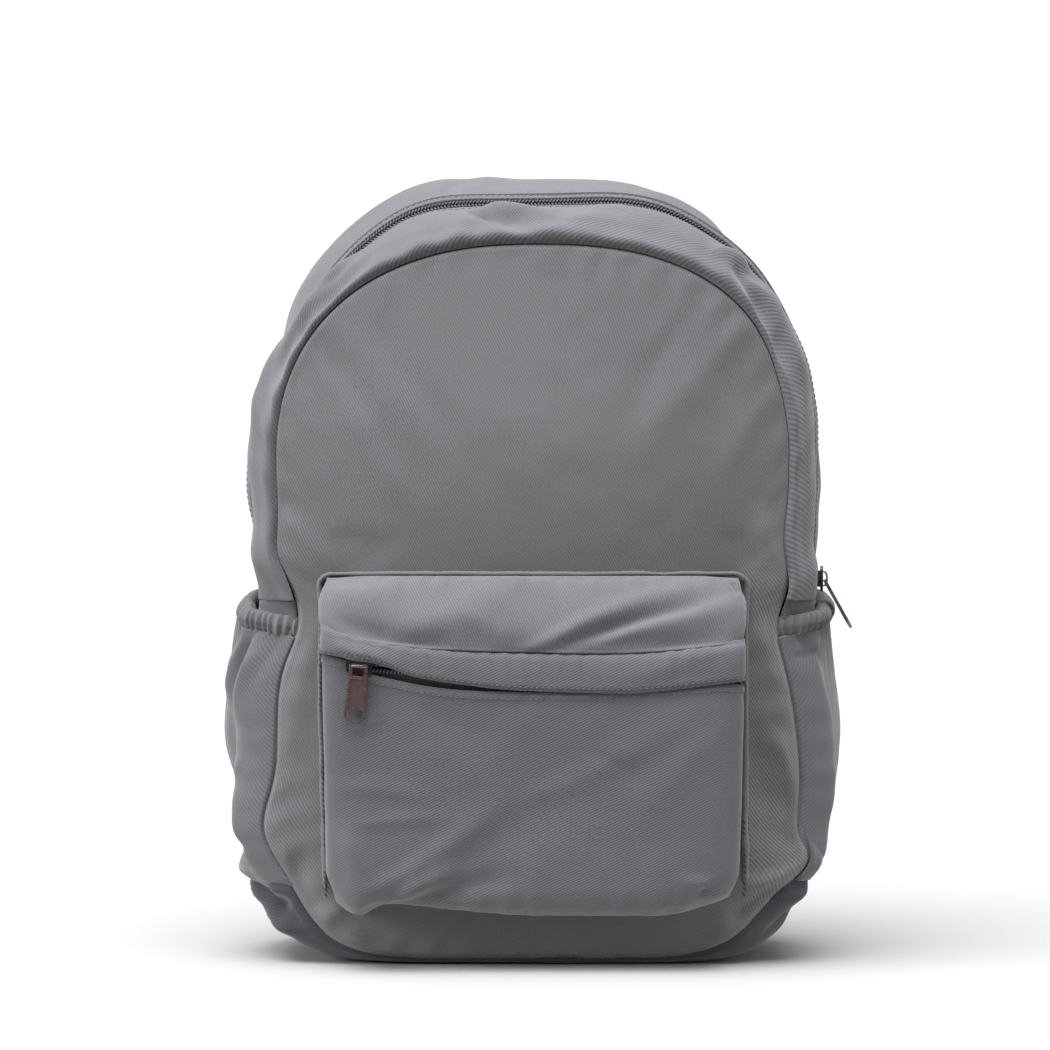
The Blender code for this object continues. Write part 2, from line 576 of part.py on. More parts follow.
def flat_strap(name, path, thick, look, across_hint=(1, 0, 0), origin=(0, 0, 0)):
    """A band with a rounded section along points of (x, y, z, width)."""
    spots = [np.array(p[:3], float) for p in path]
    rings = []
    for k, spot in enumerate(spots):
        run = spots[min(k + 1, len(spots) - 1)] - spots[max(k - 1, 0)]
        run /= np.linalg.norm(run)
        across = np.array(across_hint, float)
        across -= run * np.dot(across, run)
        across /= np.linalg.norm(across)
        out = np.cross(across, run)
        half, edge = path[k][3] / 2, thick / 2
        soft = min(edge, 0.004)
        rings.append([spot + across * u + out * v for u, v in (
            (half, 0.0), (half - soft, edge), (-half + soft, edge), (-half, 0.0),
            (-half + soft, -edge), (half - soft, -edge))])
    return tube(name, rings, look, origin)


def straps(side, word):
    knots = [(k / (len(STRAP_PATH) - 1), *p) for k, p in enumerate(STRAP_PATH)]
    path = []
    for t in np.linspace(0, 1, 17):
        x, y, z, wide = (along([(k[0], k[c]) for k in knots], t) for c in (1, 2, 3, 4))
        path.append((side * x, y, z, wide))
    flat_strap("strap_" + word, path, STRAP_THICK, FABRIC)
    end_x, end_y, end_z = side * STRAP_PATH[-1][0], STRAP_PATH[-1][1], STRAP_PATH[-1][2]
    foot = Vector((side * 0.130, BACK_Y + 0.0195, 0.060))
    lean = Vector((end_x, end_y, end_z)) - foot
    run = lean.normalized()
    out = Vector((side * 0.0, 1, 0))
    out = (out - run * out.dot(run)).normalized()
    across = run.cross(out)
    lock = Vector((end_x, end_y, end_z)) - run * 0.0235

    def at(u, v, w):
        return lock + across * u + run * v + out * w

    edge = rounded(0.0175, 0.0140, 0.003, 3)
    upper = rounded(0.0135, 0.0026, 0.001, 2, (0.0, 0.0084))
    middle = rounded(0.0135, 0.0024, 0.001, 2, (0.0, 0.0006))
    lower = rounded(0.0135, 0.0024, 0.001, 2, (0.0, -0.0072))
    plate("ladder_lock_" + word, [edge, upper, middle, lower], 0.0034, at, PLASTIC)
    wrap = [(-0.0300 + 0.0534, 0.0028), (0.0140, 0.0030), (0.0086, 0.0028), (0.0084, 0.0), (0.0086, -0.0028),
            (0.0140, -0.0030), (0.0234, -0.0028)]
    band(f"lock_tab_{word}", [(v, w) for v, w in wrap[1:-1]], at, 0.0230, 0.0012, FABRIC)
    threaded = [(-0.0700, -0.0032), (-0.0300, -0.0036), (-0.0050, -0.0036), (0.0, -0.0028), (0.0010, 0.0),
                (0.0, 0.0028), (-0.0040, 0.0038), (-0.0200, 0.0040), (-0.0560, 0.0046)]
    band(f"webbing_{word}", threaded, at, WEB_WIDE - 0.001, WEB_THICK, DARK_FABRIC)
    tip = at(0, -0.0710, -0.0032)
    anchor = [tip + across * u + run * v for u, v in ((0.0125, 0), (-0.0125, 0))]
    low = Vector((side * 0.134, BACK_Y + 0.0142, 0.026))
    spread = [low + Vector((side * 0.004, 0, 0.022)), low + Vector((-side * 0.022, 0, -0.006))]
    anchor.sort(key=lambda c: c.x)
    spread.sort(key=lambda c: c.x)
    corners = [anchor[0], anchor[1], spread[1], spread[0]]
    points = [c + Vector((0, w, 0)) for w in (-0.0008, 0.0008) for c in corners]
    faces = [(0, 1, 2, 3), (7, 6, 5, 4), (0, 4, 5, 1), (1, 5, 6, 2), (2, 6, 7, 3), (3, 7, 4, 0)]
    add("webbing_anchor_" + word, points, faces, FABRIC)


def band(name, line, at, wide, thick, look):
    """Webbing of a width that follows a line of (v, w) in a plane across the strap."""
    line = [np.array(p, float) for p in line]
    rings = []
    for k, spot in enumerate(line):
        run = line[min(k + 1, len(line) - 1)] - line[max(k - 1, 0)]
        run /= np.linalg.norm(run)
        off = np.array((-run[1], run[0])) * thick / 2
        rings.append([at(s * wide / 2, *(spot + t * off)) for s, t in ((1, 1), (-1, 1), (-1, -1), (1, -1))])
    tube(name, rings, look)


def yoke_and_loop():
    y0 = BACK_Y + 0.0005 + PANEL_THICK + GAP
    edge = [(-YOKE_HALF, YOKE_LOW_Z), (YOKE_HALF, YOKE_LOW_Z), (YOKE_HALF - 0.008, YOKE_LOW_Z + 0.016),
            (0.045, YOKE_TOP_Z), (-0.045, YOKE_TOP_Z), (-YOKE_HALF + 0.008, YOKE_LOW_Z + 0.016)]
    plate("back_yoke", [edge], 0.0024, lambda u, v, w: Vector((u, y0 + 0.0012 + w, v)), FABRIC)
    pivot_y = y0 + 0.0024 + GAP + 0.0016
    line = []
    for a in np.linspace(0, math.pi, 17):
        x = LOOP_HALF * math.cos(a)
        drop = LOOP_DROP * math.sin(a) ** 0.7
        line.append((x, drop))
    rings = []
    for k, (x, drop) in enumerate(line):
        before, after = line[max(k - 1, 0)], line[min(k + 1, len(line) - 1)]
        run = np.array((after[0] - before[0], after[1] - before[1]))
        run /= np.linalg.norm(run)
        off = np.array((-run[1], run[0])) * 0.0015
        ring = []
        for s, t in ((1, 1), (-1, 1), (-1, -1), (1, -1)):
            px, pd = x + t * off[0], drop + t * off[1]
            reach = 0.0004 + LOOP_WIDE * (1 - s) / 2
            ring.append((px, pivot_y - 0.0014 + reach, LOOP_TOP_Z - pd))
        rings.append(ring)
    tube("haul_loop", rings, DARK_FABRIC, (0, pivot_y, LOOP_TOP_Z))


def build():
    for old in list(bpy.data.objects):
        bpy.data.objects.remove(old, do_unlink=True)
    bag_shell()
    main_zip()
    main_slider()
    pocket_body()
    pocket_binding()
    pocket_zip()
    for side, word in ((-1, "left"), (1, "right")):
        side_pocket(side, word)
        straps(side, word)
    back_panel()
    yoke_and_loop()


build()
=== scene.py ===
"""Grey twill daypack with a fold-forward front, a box pocket and two elastic side pockets.

Metres, +Z up, the front faces -Y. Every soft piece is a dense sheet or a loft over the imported
model's shape, made from formulas. Tables named _FOLDS are in millimetres, as ridges() says.
"""
import math

import bmesh
import bpy
import numpy as np
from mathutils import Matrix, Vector
from mathutils.geometry import tessellate_polygon

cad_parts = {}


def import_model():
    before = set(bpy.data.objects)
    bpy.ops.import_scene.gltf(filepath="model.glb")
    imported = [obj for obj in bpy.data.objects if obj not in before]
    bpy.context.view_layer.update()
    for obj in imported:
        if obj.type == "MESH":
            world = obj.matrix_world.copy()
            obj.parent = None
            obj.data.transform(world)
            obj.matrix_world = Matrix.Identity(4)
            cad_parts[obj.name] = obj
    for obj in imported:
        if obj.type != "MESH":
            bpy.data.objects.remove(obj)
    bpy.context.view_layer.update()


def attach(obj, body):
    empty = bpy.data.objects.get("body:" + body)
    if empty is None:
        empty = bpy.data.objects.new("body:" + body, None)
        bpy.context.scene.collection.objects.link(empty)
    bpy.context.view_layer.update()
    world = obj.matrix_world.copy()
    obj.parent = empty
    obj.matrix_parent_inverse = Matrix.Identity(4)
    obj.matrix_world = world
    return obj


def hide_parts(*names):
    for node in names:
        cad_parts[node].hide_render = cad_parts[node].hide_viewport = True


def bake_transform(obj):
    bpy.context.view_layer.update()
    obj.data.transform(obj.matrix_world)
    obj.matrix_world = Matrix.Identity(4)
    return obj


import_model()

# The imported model's outline: half-width, top and bottom against depth y.
FRONT_Y, ZIP_Y, BACK_Y = -0.052, -0.012, 0.073
HALF_WIDTH = ((-0.052, 0.139), (-0.040, 0.149), (-0.025, 0.1545), (-0.012, 0.157), (0.010, 0.159),
              (0.033, 0.159), (0.055, 0.156), (0.073, 0.149))
TOP_Z = ((-0.052, 0.388), (-0.040, 0.400), (-0.025, 0.4075), (-0.012, 0.412), (0.010, 0.4225),
         (0.033, 0.4290), (0.055, 0.4290), (0.073, 0.424))
BOTTOM_Z = ((-0.052, 0.003), (-0.045, 0.0010), (-0.036, 0.0), (0.055, 0.0), (0.073, 0.007))
SPRING_Z = 0.27
ARCH_POWER, BASE_POWER, FRONT_BASE_POWER, POWER_FADE = 2.3, 8.0, 6.0, 0.022
OUTLINE_CUT_Z = 0.2  # where the arch and the trough of the outline meet
SIDE_TUCK, TUCK_TOP_Z, TUCK_SPAN, TUCK_FADE = 0.055, 0.20, 0.05, 0.03
WAIST, WAIST_Z, WAIST_SPAN, WAIST_FADE_Y = 0.07, 0.195, 0.035, -0.026
FRONT_DOME, DOME_POWER, DOME_LOW_POWER = 0.014, 1.9, 4.0
BELLY, BELLY_Z, BELLY_SPAN = 0.0060, 0.262, 0.060
CLOTH, THIN, GAP, SEAM_SINK = 0.0016, 0.0012, 0.0004, 0.0026
ZIP_END_Z, BASE_SEAM_Z = 0.1955, 0.045
# How the filled bag swells and sinks against its plain outline, as (height, spread, amount):
# FLARE_ at the front's low sides, STAND_ behind the front panel.
FLARE_RIGHT = ((0.012, 0.014, -0.0050), (0.054, 0.015, 0.0120), (0.090, 0.050, 0.0075),
               (0.204, 0.017, 0.0085))
FLARE_LEFT = ((0.072, 0.024, 0.0105), (0.183, 0.018, -0.0042), (0.219, 0.016, 0.0050))
TOP_SHIFT = 0.008  # the front of the arch sits this much to the right of the back
STAND_LEFT = ((0.044, 0.012, 0.0100), (0.084, 0.028, -0.0092), (0.210, 0.030, -0.0112),
              (0.328, 0.046, -0.0100))
STAND_RIGHT = ((0.052, 0.015, -0.0070), (0.100, 0.030, -0.0024), (0.220, 0.060, -0.0040),
               (0.358, 0.030, -0.0064))
STAND_TOP = ((-0.064, 0.036, 0.0060), (0.064, 0.036, 0.0042))  # and against x, along the top

# Zips
SLOT, COIL_EDGE, CLOTH_EDGE, TAPE_EDGE = 0.0003, 0.0027, 0.0038, 0.0100
ZIP_LEAN = 0.45  # the zip faces the front more at the top than the cloth round it
TOOTH_PITCH, TOOTH_SLANT = 0.0019, 0.55

# Front pocket
POCKET_HALF, POCKET_TOP_Z, POCKET_LOW_Z = 0.1115, 0.209, 0.031
POCKET_FACE_Y, POCKET_SEAT, POCKET_COLUMNS = -0.1040, 0.0036, 380
POCKET_ZIP_LEFT, POCKET_ZIP_RIGHT, POCKET_SLIDER_X = (-0.098, 0.1630), (0.098, 0.1475), -0.0905
FLAP_SEAM = ((-0.1115, 0.1835), (-0.083, 0.1755), (-0.043, 0.1715), (0.040, 0.1697),
             (0.1115, 0.1750))
FLAP_EDGE = ((-0.1115, 0.1690), (-0.088, 0.1672), (-0.060, 0.1568), (-0.010, 0.1500),
             (0.045, 0.1484), (0.1115, 0.1546))
FACE_DROP = ((-0.1115, -0.0084), (-0.096, -0.0056), (-0.084, 0.0002), (-0.040, 0.0048),
             (0.010, 0.0018), (0.100, -0.0096))
FLAP_ROLL = ((0.0, -0.0034), (0.08, -0.0018), (0.15, 0.0006), (0.30, 0.0022), (0.65, 0.0032),
             (0.90, 0.0033), (1.0, 0.0020))

# Side pockets
SIDE_FRONT_Y, SIDE_BACK_Y, SIDE_LOW_Z, SIDE_MOUTH_Z = -0.049, 0.070, 0.046, 0.184
CORNER_PULL = {"left": 0.0, "right": 0.0085}
MOUTH_TILT = 0.008  # the mouth's rim is lower at the front seam and higher at the back by this much
BULGE = ((0.0, 0.0040), (0.15, 0.0130), (0.45, 0.0212), (0.75, 0.0175), (1.0, 0.0098))

# Back
PANEL_THICK, CHANNEL_WIDE, CHANNEL_DEEP = 0.012, 0.0034, 0.0050
SPINE_CHANNELS, CROSS_CHANNELS = (-0.022, 0.022), (0.105, 0.195, 0.285)  # at x, and at z
STRAP_PATH = ((0.058, 0.0940, 0.3635, 0.050), (0.060, 0.1010, 0.330, 0.054),
              (0.067, 0.1045, 0.280, 0.058), (0.079, 0.1040, 0.230, 0.056),
              (0.094, 0.1015, 0.182, 0.050), (0.104, 0.0995, 0.148, 0.040))
STRAP_THICK, WEB_WIDE, WEB_THICK, TAB_WIDE = 0.011, 0.025, 0.0016, 0.0230
STRAP_FILL, BACK_FILL = 0.65, 0.7  # how tightly the pads are filled
YOKE_LOW_Z, YOKE_TOP_Z, YOKE_HALF = 0.366, 0.404, 0.092
LOOP_HALF, LOOP_TOP_Z, LOOP_DROP, LOOP_WIDE, LOOP_THICK = 0.026, 0.396, 0.040, 0.015, 0.0028

# Sliders and pullers
SLIDER_LONG, SLIDER_WIDE, PLATE, CROWN = 0.0140, 0.0090, 0.0013, 0.0005
BAIL_RISE, BAIL_LONG = 0.0024, 0.0090
PIVOT_RISE = CROWN + PLATE + BAIL_RISE / 2
SOLE, POST = -0.0031, (-0.0034, 0.0009)  # the lower plate's top, and the post's ends
PULLER_THICK, PULLER_WIDE, PULLER_RIM = 0.0014, 0.0114, 0.0015
PULLER_LONG, MAIN_PULLER_LONG = 0.0314, 0.0300
PULLER_SWAY = math.radians(4.5)  # how the pocket's puller hangs off plumb
MAIN_SLIDER_Z, MAIN_PULLER_TILT = 0.2067, math.radians(29)

# Ladder lock: half its width and height, and the (half-height, middle) of each slot
LOCK_HALF, LOCK_THICK, LOCK_SLOT = (0.0175, 0.0140), 0.0034, 0.0135
LOCK_BELOW = 0.0235  # the strap's end to the lock's middle
WEB_FOOT = (0.130, BACK_Y + 0.0195, 0.060)  # where the webbing aims
LOCK_SLOTS = ((0.0026, 0.0084), (0.0024, 0.0006), (0.0024, -0.0072))
# Lock tab and lower webbing, as (along, out) from the ladder lock's middle
LOCK_TAB = ((0.0250, 0.0022), (0.0140, 0.0030), (0.0086, 0.0028), (0.0084, 0.0),
            (0.0086, -0.0028), (0.0140, -0.0030), (0.0250, -0.0022))
WEB_LINE = ((-0.0700, -0.0032), (-0.0300, -0.0036), (-0.0050, -0.0036), (0.0, -0.0028),
            (0.0010, 0.0), (0.0, 0.0028), (-0.0040, 0.0038), (-0.0200, 0.0040), (-0.0560, 0.0046))


# ---------- shape functions ----------

def smooth(t):
    """0 up to 0, 1 from 1 on, and a smooth step between."""
    t = np.clip(t, 0.0, 1.0)
    return t * t * (3 - 2 * t)


def along(knots, at):
    """Smooth monotone curve through (position, value) knots, at many places."""
    x, v = np.array([k[:2] for k in knots], float).T
    step = np.diff(v) / np.diff(x)
    slope = np.empty_like(v)
    slope[0], slope[-1] = step[0], step[-1]
    both = step[:-1] * step[1:]
    slope[1:-1] = np.where(both <= 0, 0.0, 2 * both / np.where(both > 0, step[:-1] + step[1:], 1.0))
    at = np.clip(at, x[0], x[-1])
    i = np.clip(np.searchsorted(x, at, side="right") - 1, 0, len(x) - 2)
    h = x[i + 1] - x[i]
    t = (at - x[i]) / h
    return ((1 + 2 * t) * (1 - t) ** 2 * v[i] + t * (1 - t) ** 2 * h * slope[i]
            + t * t * (3 - 2 * t) * v[i + 1] + t * t * (t - 1) * h * slope[i + 1])


def bell(at, place, spread):
    """A soft peak of height 1 at a place."""
    return np.exp(-(((at - place) / spread) ** 2))


def after(at, start, length):
    """0 up to a start, and 1 from a length beyond it."""
    return smooth((at - start) / length)


def before(at, end, length):
    """0 from an end on, and 1 until a length before it."""
    return smooth((end - at) / length)


def within(t, near, far):
    """1 between 0 and 1, fading over near at 0 and over far at 1."""
    return smooth(t / near) * smooth((1 - t) / far)


def run_along(points):
    """Length along a line of points, from 0 at its first."""
    return np.concatenate([[0], np.cumsum(np.linalg.norm(np.diff(points, axis=0), axis=1))])


def at_run(where, run, line):
    """The place on a line at a length along it."""
    return np.array([np.interp(where, run, line[:, k]) for k in range(3)])


def even(points, count):
    """The same line with its points evenly spaced."""
    points = np.asarray(points, float)
    run = run_along(points)
    at = np.linspace(0, run[-1], count)
    return np.stack([np.interp(at, run, column) for column in points.T], axis=1)


def stretches(*marks):
    """Places from mark to mark; each is (start, how many points up to and with the next)."""
    places = [np.linspace(a[0], b[0], a[1])[:-1] for a, b in zip(marks, marks[1:])]
    return np.append(np.concatenate(places), float(marks[-1][0]))


def turns(count):
    """Angles evenly round a full turn."""
    return np.linspace(0, 2 * math.pi, count, endpoint=False)


def squared(value, power):
    """A cosine or sine raised to a power with its sign kept, which squares off a circle."""
    return math.copysign(abs(value) ** power, value)


def unit(v):
    v = np.array(v, float)
    return v / np.linalg.norm(v)


def heading(line, k):
    """The step across the point k of a line."""
    return line[min(k + 1, len(line) - 1)] - line[max(k - 1, 0)]


def swells(features, at):
    """Sum of soft bulges, or hollows where negative: each is (place, spread, height)."""
    return sum(high * bell(at, place, spread) for place, spread, high in features)


def drawn_in(y, z):
    """How much of its full half-width the bag keeps at its tucked base and its waist."""
    tuck = SIDE_TUCK * before(z, TUCK_TOP_Z, TUCK_SPAN)
    waist = WAIST * before(y, WAIST_FADE_Y, WAIST_FADE_Y - FRONT_Y) * bell(z, WAIST_Z, WAIST_SPAN)
    return 1 - np.maximum(tuck * after(y, FRONT_Y, TUCK_FADE), waist)


def base_power(y):
    """How square the outline's lower corners are."""
    return FRONT_BASE_POWER + (BASE_POWER - FRONT_BASE_POWER) * after(y, FRONT_Y, POWER_FADE)


def side_x(y, z):
    """Half-width of the bag's outline at a depth and height."""
    y, z = np.broadcast_arrays(np.asarray(y, float), np.asarray(z, float))
    over = z >= SPRING_Z
    part = np.where(over, (z - SPRING_Z) / (along(TOP_Z, y) - SPRING_Z),
                    (SPRING_Z - z) / (SPRING_Z - along(BOTTOM_Z, y)))
    power = np.where(over, ARCH_POWER, base_power(y))
    part = np.clip(part, 0, 1)
    return along(HALF_WIDTH, y) * (1 - part ** power) ** (1 / power) * drawn_in(y, z)


def both_ways(x, z, middle_z, count):
    """A line up to the middle and its mirror image back, evenly spaced."""
    middle = [[0.0, middle_z]]
    return even(np.concatenate([side_by_side(x, z), middle, side_by_side(-x, z)[::-1]]), count)


def arch(y, z_from, count):
    """(x, z) over the top of the bag at depth y, right to left."""
    top, wide = along(TOP_Z, y), along(HALF_WIDTH, y)
    a = np.linspace(0, math.pi / 2, 400)[1:-1]
    low = np.linspace(z_from, SPRING_Z, 80)
    x = np.concatenate([side_x(y, low), wide * np.cos(a) ** (2 / ARCH_POWER)])
    z = np.concatenate([low, SPRING_Z + (top - SPRING_Z) * np.sin(a) ** (2 / ARCH_POWER)])
    return both_ways(x, z, float(top), count)


def trough(y, z_from, count):
    """(x, z) under the base of the bag at depth y, left to right."""
    low, wide, power = along(BOTTOM_Z, y), along(HALF_WIDTH, y), base_power(y)
    a = np.linspace(0, math.pi / 2, 1200)[1:-1]
    z = SPRING_Z - (SPRING_Z - low) * np.sin(a) ** (2 / power)
    x = wide * np.cos(a) ** (2 / power) * drawn_in(y, z)
    keep = z < z_from - 1e-5
    x = np.concatenate([[float(side_x(y, z_from))], x[keep]])
    z = np.concatenate([[z_from], z[keep]])
    return both_ways(-x, z, float(low), count)


def dome_y(x, z):
    """Outer face of the front panel."""
    low, top = along(BOTTOM_Z, FRONT_Y), along(TOP_Z, FRONT_Y)
    over = z >= SPRING_Z
    power = np.where(over, ARCH_POWER, DOME_LOW_POWER)
    part = np.where(over, (z - SPRING_Z) / (top - SPRING_Z), (SPRING_Z - z) / (SPRING_Z - low))
    part = np.clip(part, 0, 2)
    wide = np.abs(x) / (along(HALF_WIDTH, FRONT_Y) * drawn_in(FRONT_Y, z))
    reach = np.minimum(1.0, (wide ** power + part ** power) ** (1 / power))
    belly = BELLY * bell(z, BELLY_Z, BELLY_SPAN) * (1 - reach ** 3)
    return FRONT_Y - FRONT_DOME * (1 - reach ** DOME_POWER) - belly


def settled(points):
    """The filled bag's stance: front flared low at the sides, and its top leaning right."""
    p = np.array(points, float)
    x, y, z = p[..., 0], p[..., 1], p[..., 2]
    amount, stand = (np.where(x > 0, swells(right, z), swells(left, z))
                     for right, left in ((FLARE_RIGHT, FLARE_LEFT), (STAND_RIGHT, STAND_LEFT)))
    amount = amount * after(np.abs(x), 0.108, 0.026) * before(y, -0.018, 0.028)
    lean = TOP_SHIFT * after(z, 0.30, 0.08) * before(y, 0.02, 0.03)
    lean = lean * np.maximum(after(x, -0.03, 0.08), after(y, FRONT_Y, 0.03))
    behind = after(y, -0.045, 0.033)
    stand = stand * after(np.abs(x), 0.05, 0.04)
    p[..., 0] = x + np.sign(x) * (amount + stand * behind) + lean
    p[..., 2] = z + swells(STAND_TOP, x) * after(z, 0.34, 0.04) * behind
    return p


def zip_z(x):
    """Height of the pocket's zip."""
    (x0, z0), (x1, z1) = POCKET_ZIP_LEFT, POCKET_ZIP_RIGHT
    return z0 + (z1 - z0) * (x - x0) / (x1 - x0)


# ---------- folds and lumps in cloth ----------

def ridges(a, b, lines):
    """Heights of soft folds, from lines of (a0, b0, a1, b1, half-width, height) in millimetres.

    A negative height is a valley.
    """
    total = np.zeros(np.broadcast(a, b).shape)
    for a0, b0, a1, b1, wide, high in np.array(lines, float) / 1000:
        da, db = a1 - a0, b1 - b0
        run = da * da + db * db
        t = ((a - a0) * da + (b - b0) * db) / run
        off = ((a - a0) * db - (b - b0) * da) / math.sqrt(run)
        off = off + wide * 0.5 * np.sin(3.1 * t + 40 * (a0 + b0))
        spread = wide * (0.65 + 0.7 * np.clip(t, 0, 1))
        total += high * bell(off, 0, spread) * smooth((t + 0.12) / 0.4) * before(t, 1.12, 0.5)
    return total


def lumps(a, b, size, seed):
    """Smooth value noise from -1 to 1."""
    a, b = np.broadcast_arrays(a / size + 7.3 * seed, b / size - 3.1 * seed)
    i, j = np.floor(a), np.floor(b)
    u, v = smooth(a - i), smooth(b - j)

    def corner(p, q):
        s = np.sin(p * 127.1 + q * 311.7 + seed * 74.7) * 43758.5453
        return 2 * (s - np.floor(s)) - 1

    return ((corner(i, j) * (1 - u) + corner(i + 1, j) * u) * (1 - v)
            + (corner(i, j + 1) * (1 - u) + corner(i + 1, j + 1) * u) * v)


def slack(a, b, seed, high=0.0009, size=0.045):
    """Cloth's gentle unevenness at two scales."""
    return high * lumps(a, b, size, seed) + high * 0.30 * lumps(a, b, size * 0.33, seed + 5)


def puckers(run, away, high=0.0005, pitch=0.013, reach=0.012, seed=1):
    """Ripples across a seam; run is the length along it, away the distance from it."""
    phase = run / pitch * 2 * math.pi + 2.2 * lumps(run, 0 * run, 0.05, seed)
    vary = 0.55 + 0.45 * lumps(run, 0 * run + 0.3, 0.03, seed + 3)
    return high * vary * np.sin(phase) * np.exp(-away / reach)


# ---------- meshes ----------

def grid_normals(grid):
    di, dj = np.gradient(grid, axis=0), np.gradient(grid, axis=1)
    n = np.cross(di, dj)
    return n / np.maximum(1e-12, np.linalg.norm(n, axis=2, keepdims=True))


def facing(grid, outward):
    """Unit normals of a grid that look the way outward does at its middle."""
    n = grid_normals(grid)
    return n if np.dot(n[grid.shape[0] // 2, grid.shape[1] // 2], outward) >= 0 else -n


def from_arrays(name, points, quads, look, uv=None, fix=True):
    """A smooth-shaded object; fix turns all its faces outwards."""
    mesh = bpy.data.meshes.new(name)
    faces = [tuple(int(v) for v in q) for q in quads]
    mesh.from_pydata(np.asarray(points, float).tolist(), [], faces)
    if uv is not None:
        layer = mesh.uv_layers.new(name="UVMap")
        loops = np.zeros(len(mesh.loops), np.int32)
        mesh.loops.foreach_get("vertex_index", loops)
        layer.data.foreach_set("uv", np.asarray(uv, np.float32)[loops].ravel())
    if fix:
        built = bmesh.new()
        built.from_mesh(mesh)
        bmesh.ops.recalc_face_normals(built, faces=built.faces)
        built.to_mesh(mesh)
        built.free()
    mesh.polygons.foreach_set("use_smooth", [True] * len(mesh.polygons))
    mesh.materials.append(look)
    return added(name, mesh)


def added(name, data):
    """A new object in the scene."""
    thing = bpy.data.objects.new(name, data)
    bpy.context.scene.collection.objects.link(thing)
    return thing


def grid_quads(rows, cols, offset=0, flip=False, wrap=False):
    i, j = np.meshgrid(np.arange(rows - 1), np.arange(cols if wrap else cols - 1), indexing="ij")
    a, d = i * cols + j, i * cols + (j + 1) % cols
    q = np.stack([a, a + cols, d + cols, d], -1).reshape(-1, 4) + offset
    return q[:, ::-1] if flip else q


def capped(rows, cols):
    """Faces of a closed tube of rings, with both ends filled."""
    last = (rows - 1) * cols
    sides = [tuple(q) for q in grid_quads(rows, cols, wrap=True)]
    return sides + [tuple(range(cols)), tuple(range(last, last + cols))]


def side_by_side(a, b):
    """Two grids of numbers as one grid of pairs."""
    return np.stack([a, b], -1)


def metres_uv(grid):
    """(u, v) in metres along the two directions of a grid."""
    u, v = np.zeros(grid.shape[:2]), np.zeros(grid.shape[:2])
    u[:, 1:] = np.cumsum(np.linalg.norm(np.diff(grid, axis=1), axis=2), axis=1)
    u -= u[:, [u.shape[1] // 2]]
    v[1:] = np.cumsum(np.linalg.norm(np.diff(grid, axis=0), axis=2), axis=0)
    return side_by_side(u, v)


def cloth(name, grid, thick, look, outward, uv=None, wrap=False):
    """Two matching skins closed round their rim, with cut edges a little rounded."""
    rows, cols = grid.shape[:2]
    uv = metres_uv(grid) if uv is None else uv
    if wrap:
        padded = np.concatenate([grid[:, -1:], grid, grid[:, :1]], axis=1)
        n = facing(padded, outward)[:, 1:-1]
    else:
        n = facing(grid, outward)
    inner = grid - n * thick
    points = np.concatenate([grid.reshape(-1, 3), inner.reshape(-1, 3)])
    half = rows * cols
    quads = [grid_quads(rows, cols, 0, False, wrap), grid_quads(rows, cols, half, True, wrap)]
    top = [(0, j) for j in range(cols)] + ([] if wrap else [(i, cols - 1) for i in range(1, rows)])
    bottom = [(rows - 1, j) for j in (range(cols) if wrap else range(cols - 2, -1, -1))]
    if wrap:
        loops = [[i * cols + j for i, j in top], [i * cols + j for i, j in bottom]]
    else:
        loops = [[i * cols + j for i, j in top + bottom + [(i, 0) for i in range(rows - 2, 0, -1)]]]
    for ids in loops:
        a, b = np.array(ids), np.array(ids[1:] + ids[:1])
        quads.append(np.stack([a, b, half + b, half + a], -1))
    flat = uv.reshape(-1, 2)
    return from_arrays(name, points, np.concatenate(quads), look, np.concatenate([flat, flat]))


def loft(name, rings, look):
    """A closed body through matching rings of points, with capped ends."""
    rings = np.asarray(rings, float)
    count, size = rings.shape[:2]
    run, girth = run_along(rings.mean(1)), run_along(rings[count // 2])
    uv = np.stack(np.meshgrid(run, girth, indexing="ij"), -1).reshape(-1, 2)
    return from_arrays(name, rings.reshape(-1, 3), capped(count, size), look, uv)


def scattered(name, template, faces, frames, look):
    """Copies of a small template placed on frames of (origin, along, across, out)."""
    template = np.asarray(template, float)
    size = len(template)
    points = [origin + template[:, :1] * a + template[:, 1:2] * c + template[:, 2:] * o
              for origin, a, c, o in frames]
    copies = [tuple(v + k * size for v in face) for k in range(len(frames)) for face in faces]
    return from_arrays(name, np.concatenate(points), copies, look, fix=False)


def bead(long, wide, high, sides=6, rings=5):
    """A rounded grain lying along its first axis: (points, faces) for scattered()."""
    points = []
    for t in np.linspace(-1, 1, rings):
        size = math.sqrt(max(0.0, 1 - abs(t) ** 3.0)) * 0.92 + 0.08
        for k in range(sides):
            a = 2 * math.pi * k / sides
            points.append((t * long / 2, wide / 2 * size * math.cos(a),
                           high / 2 * size * math.sin(a)))
    faces = capped(rings, sides)
    faces[-1] = faces[-1][::-1]
    return points, faces


def stitches(name, path, outs, look, pitch=0.0034, long=0.0024, wide=0.0006, high=0.0005,
             twist=0.0):
    """Thread dashes along a line that lies on cloth."""
    path, outs = np.asarray(path, float), np.asarray(outs, float)
    run, near = run_along(path), 0.0004
    frames = []
    for s in np.arange(pitch / 2, run[-1], pitch):
        out = at_run(s, run, outs)
        tangent = unit(at_run(s + near, run, path) - at_run(s - near, run, path))
        out = unit(out - tangent * np.dot(out, tangent))
        turned = tangent * math.cos(twist) + np.cross(out, tangent) * math.sin(twist)
        frames.append((at_run(s, run, path), turned, np.cross(out, turned), out))
    return scattered(name, *bead(long, wide, high), frames, look)


# ---------- materials ----------

def shade(colour, amount):
    return tuple(c * amount for c in colour)


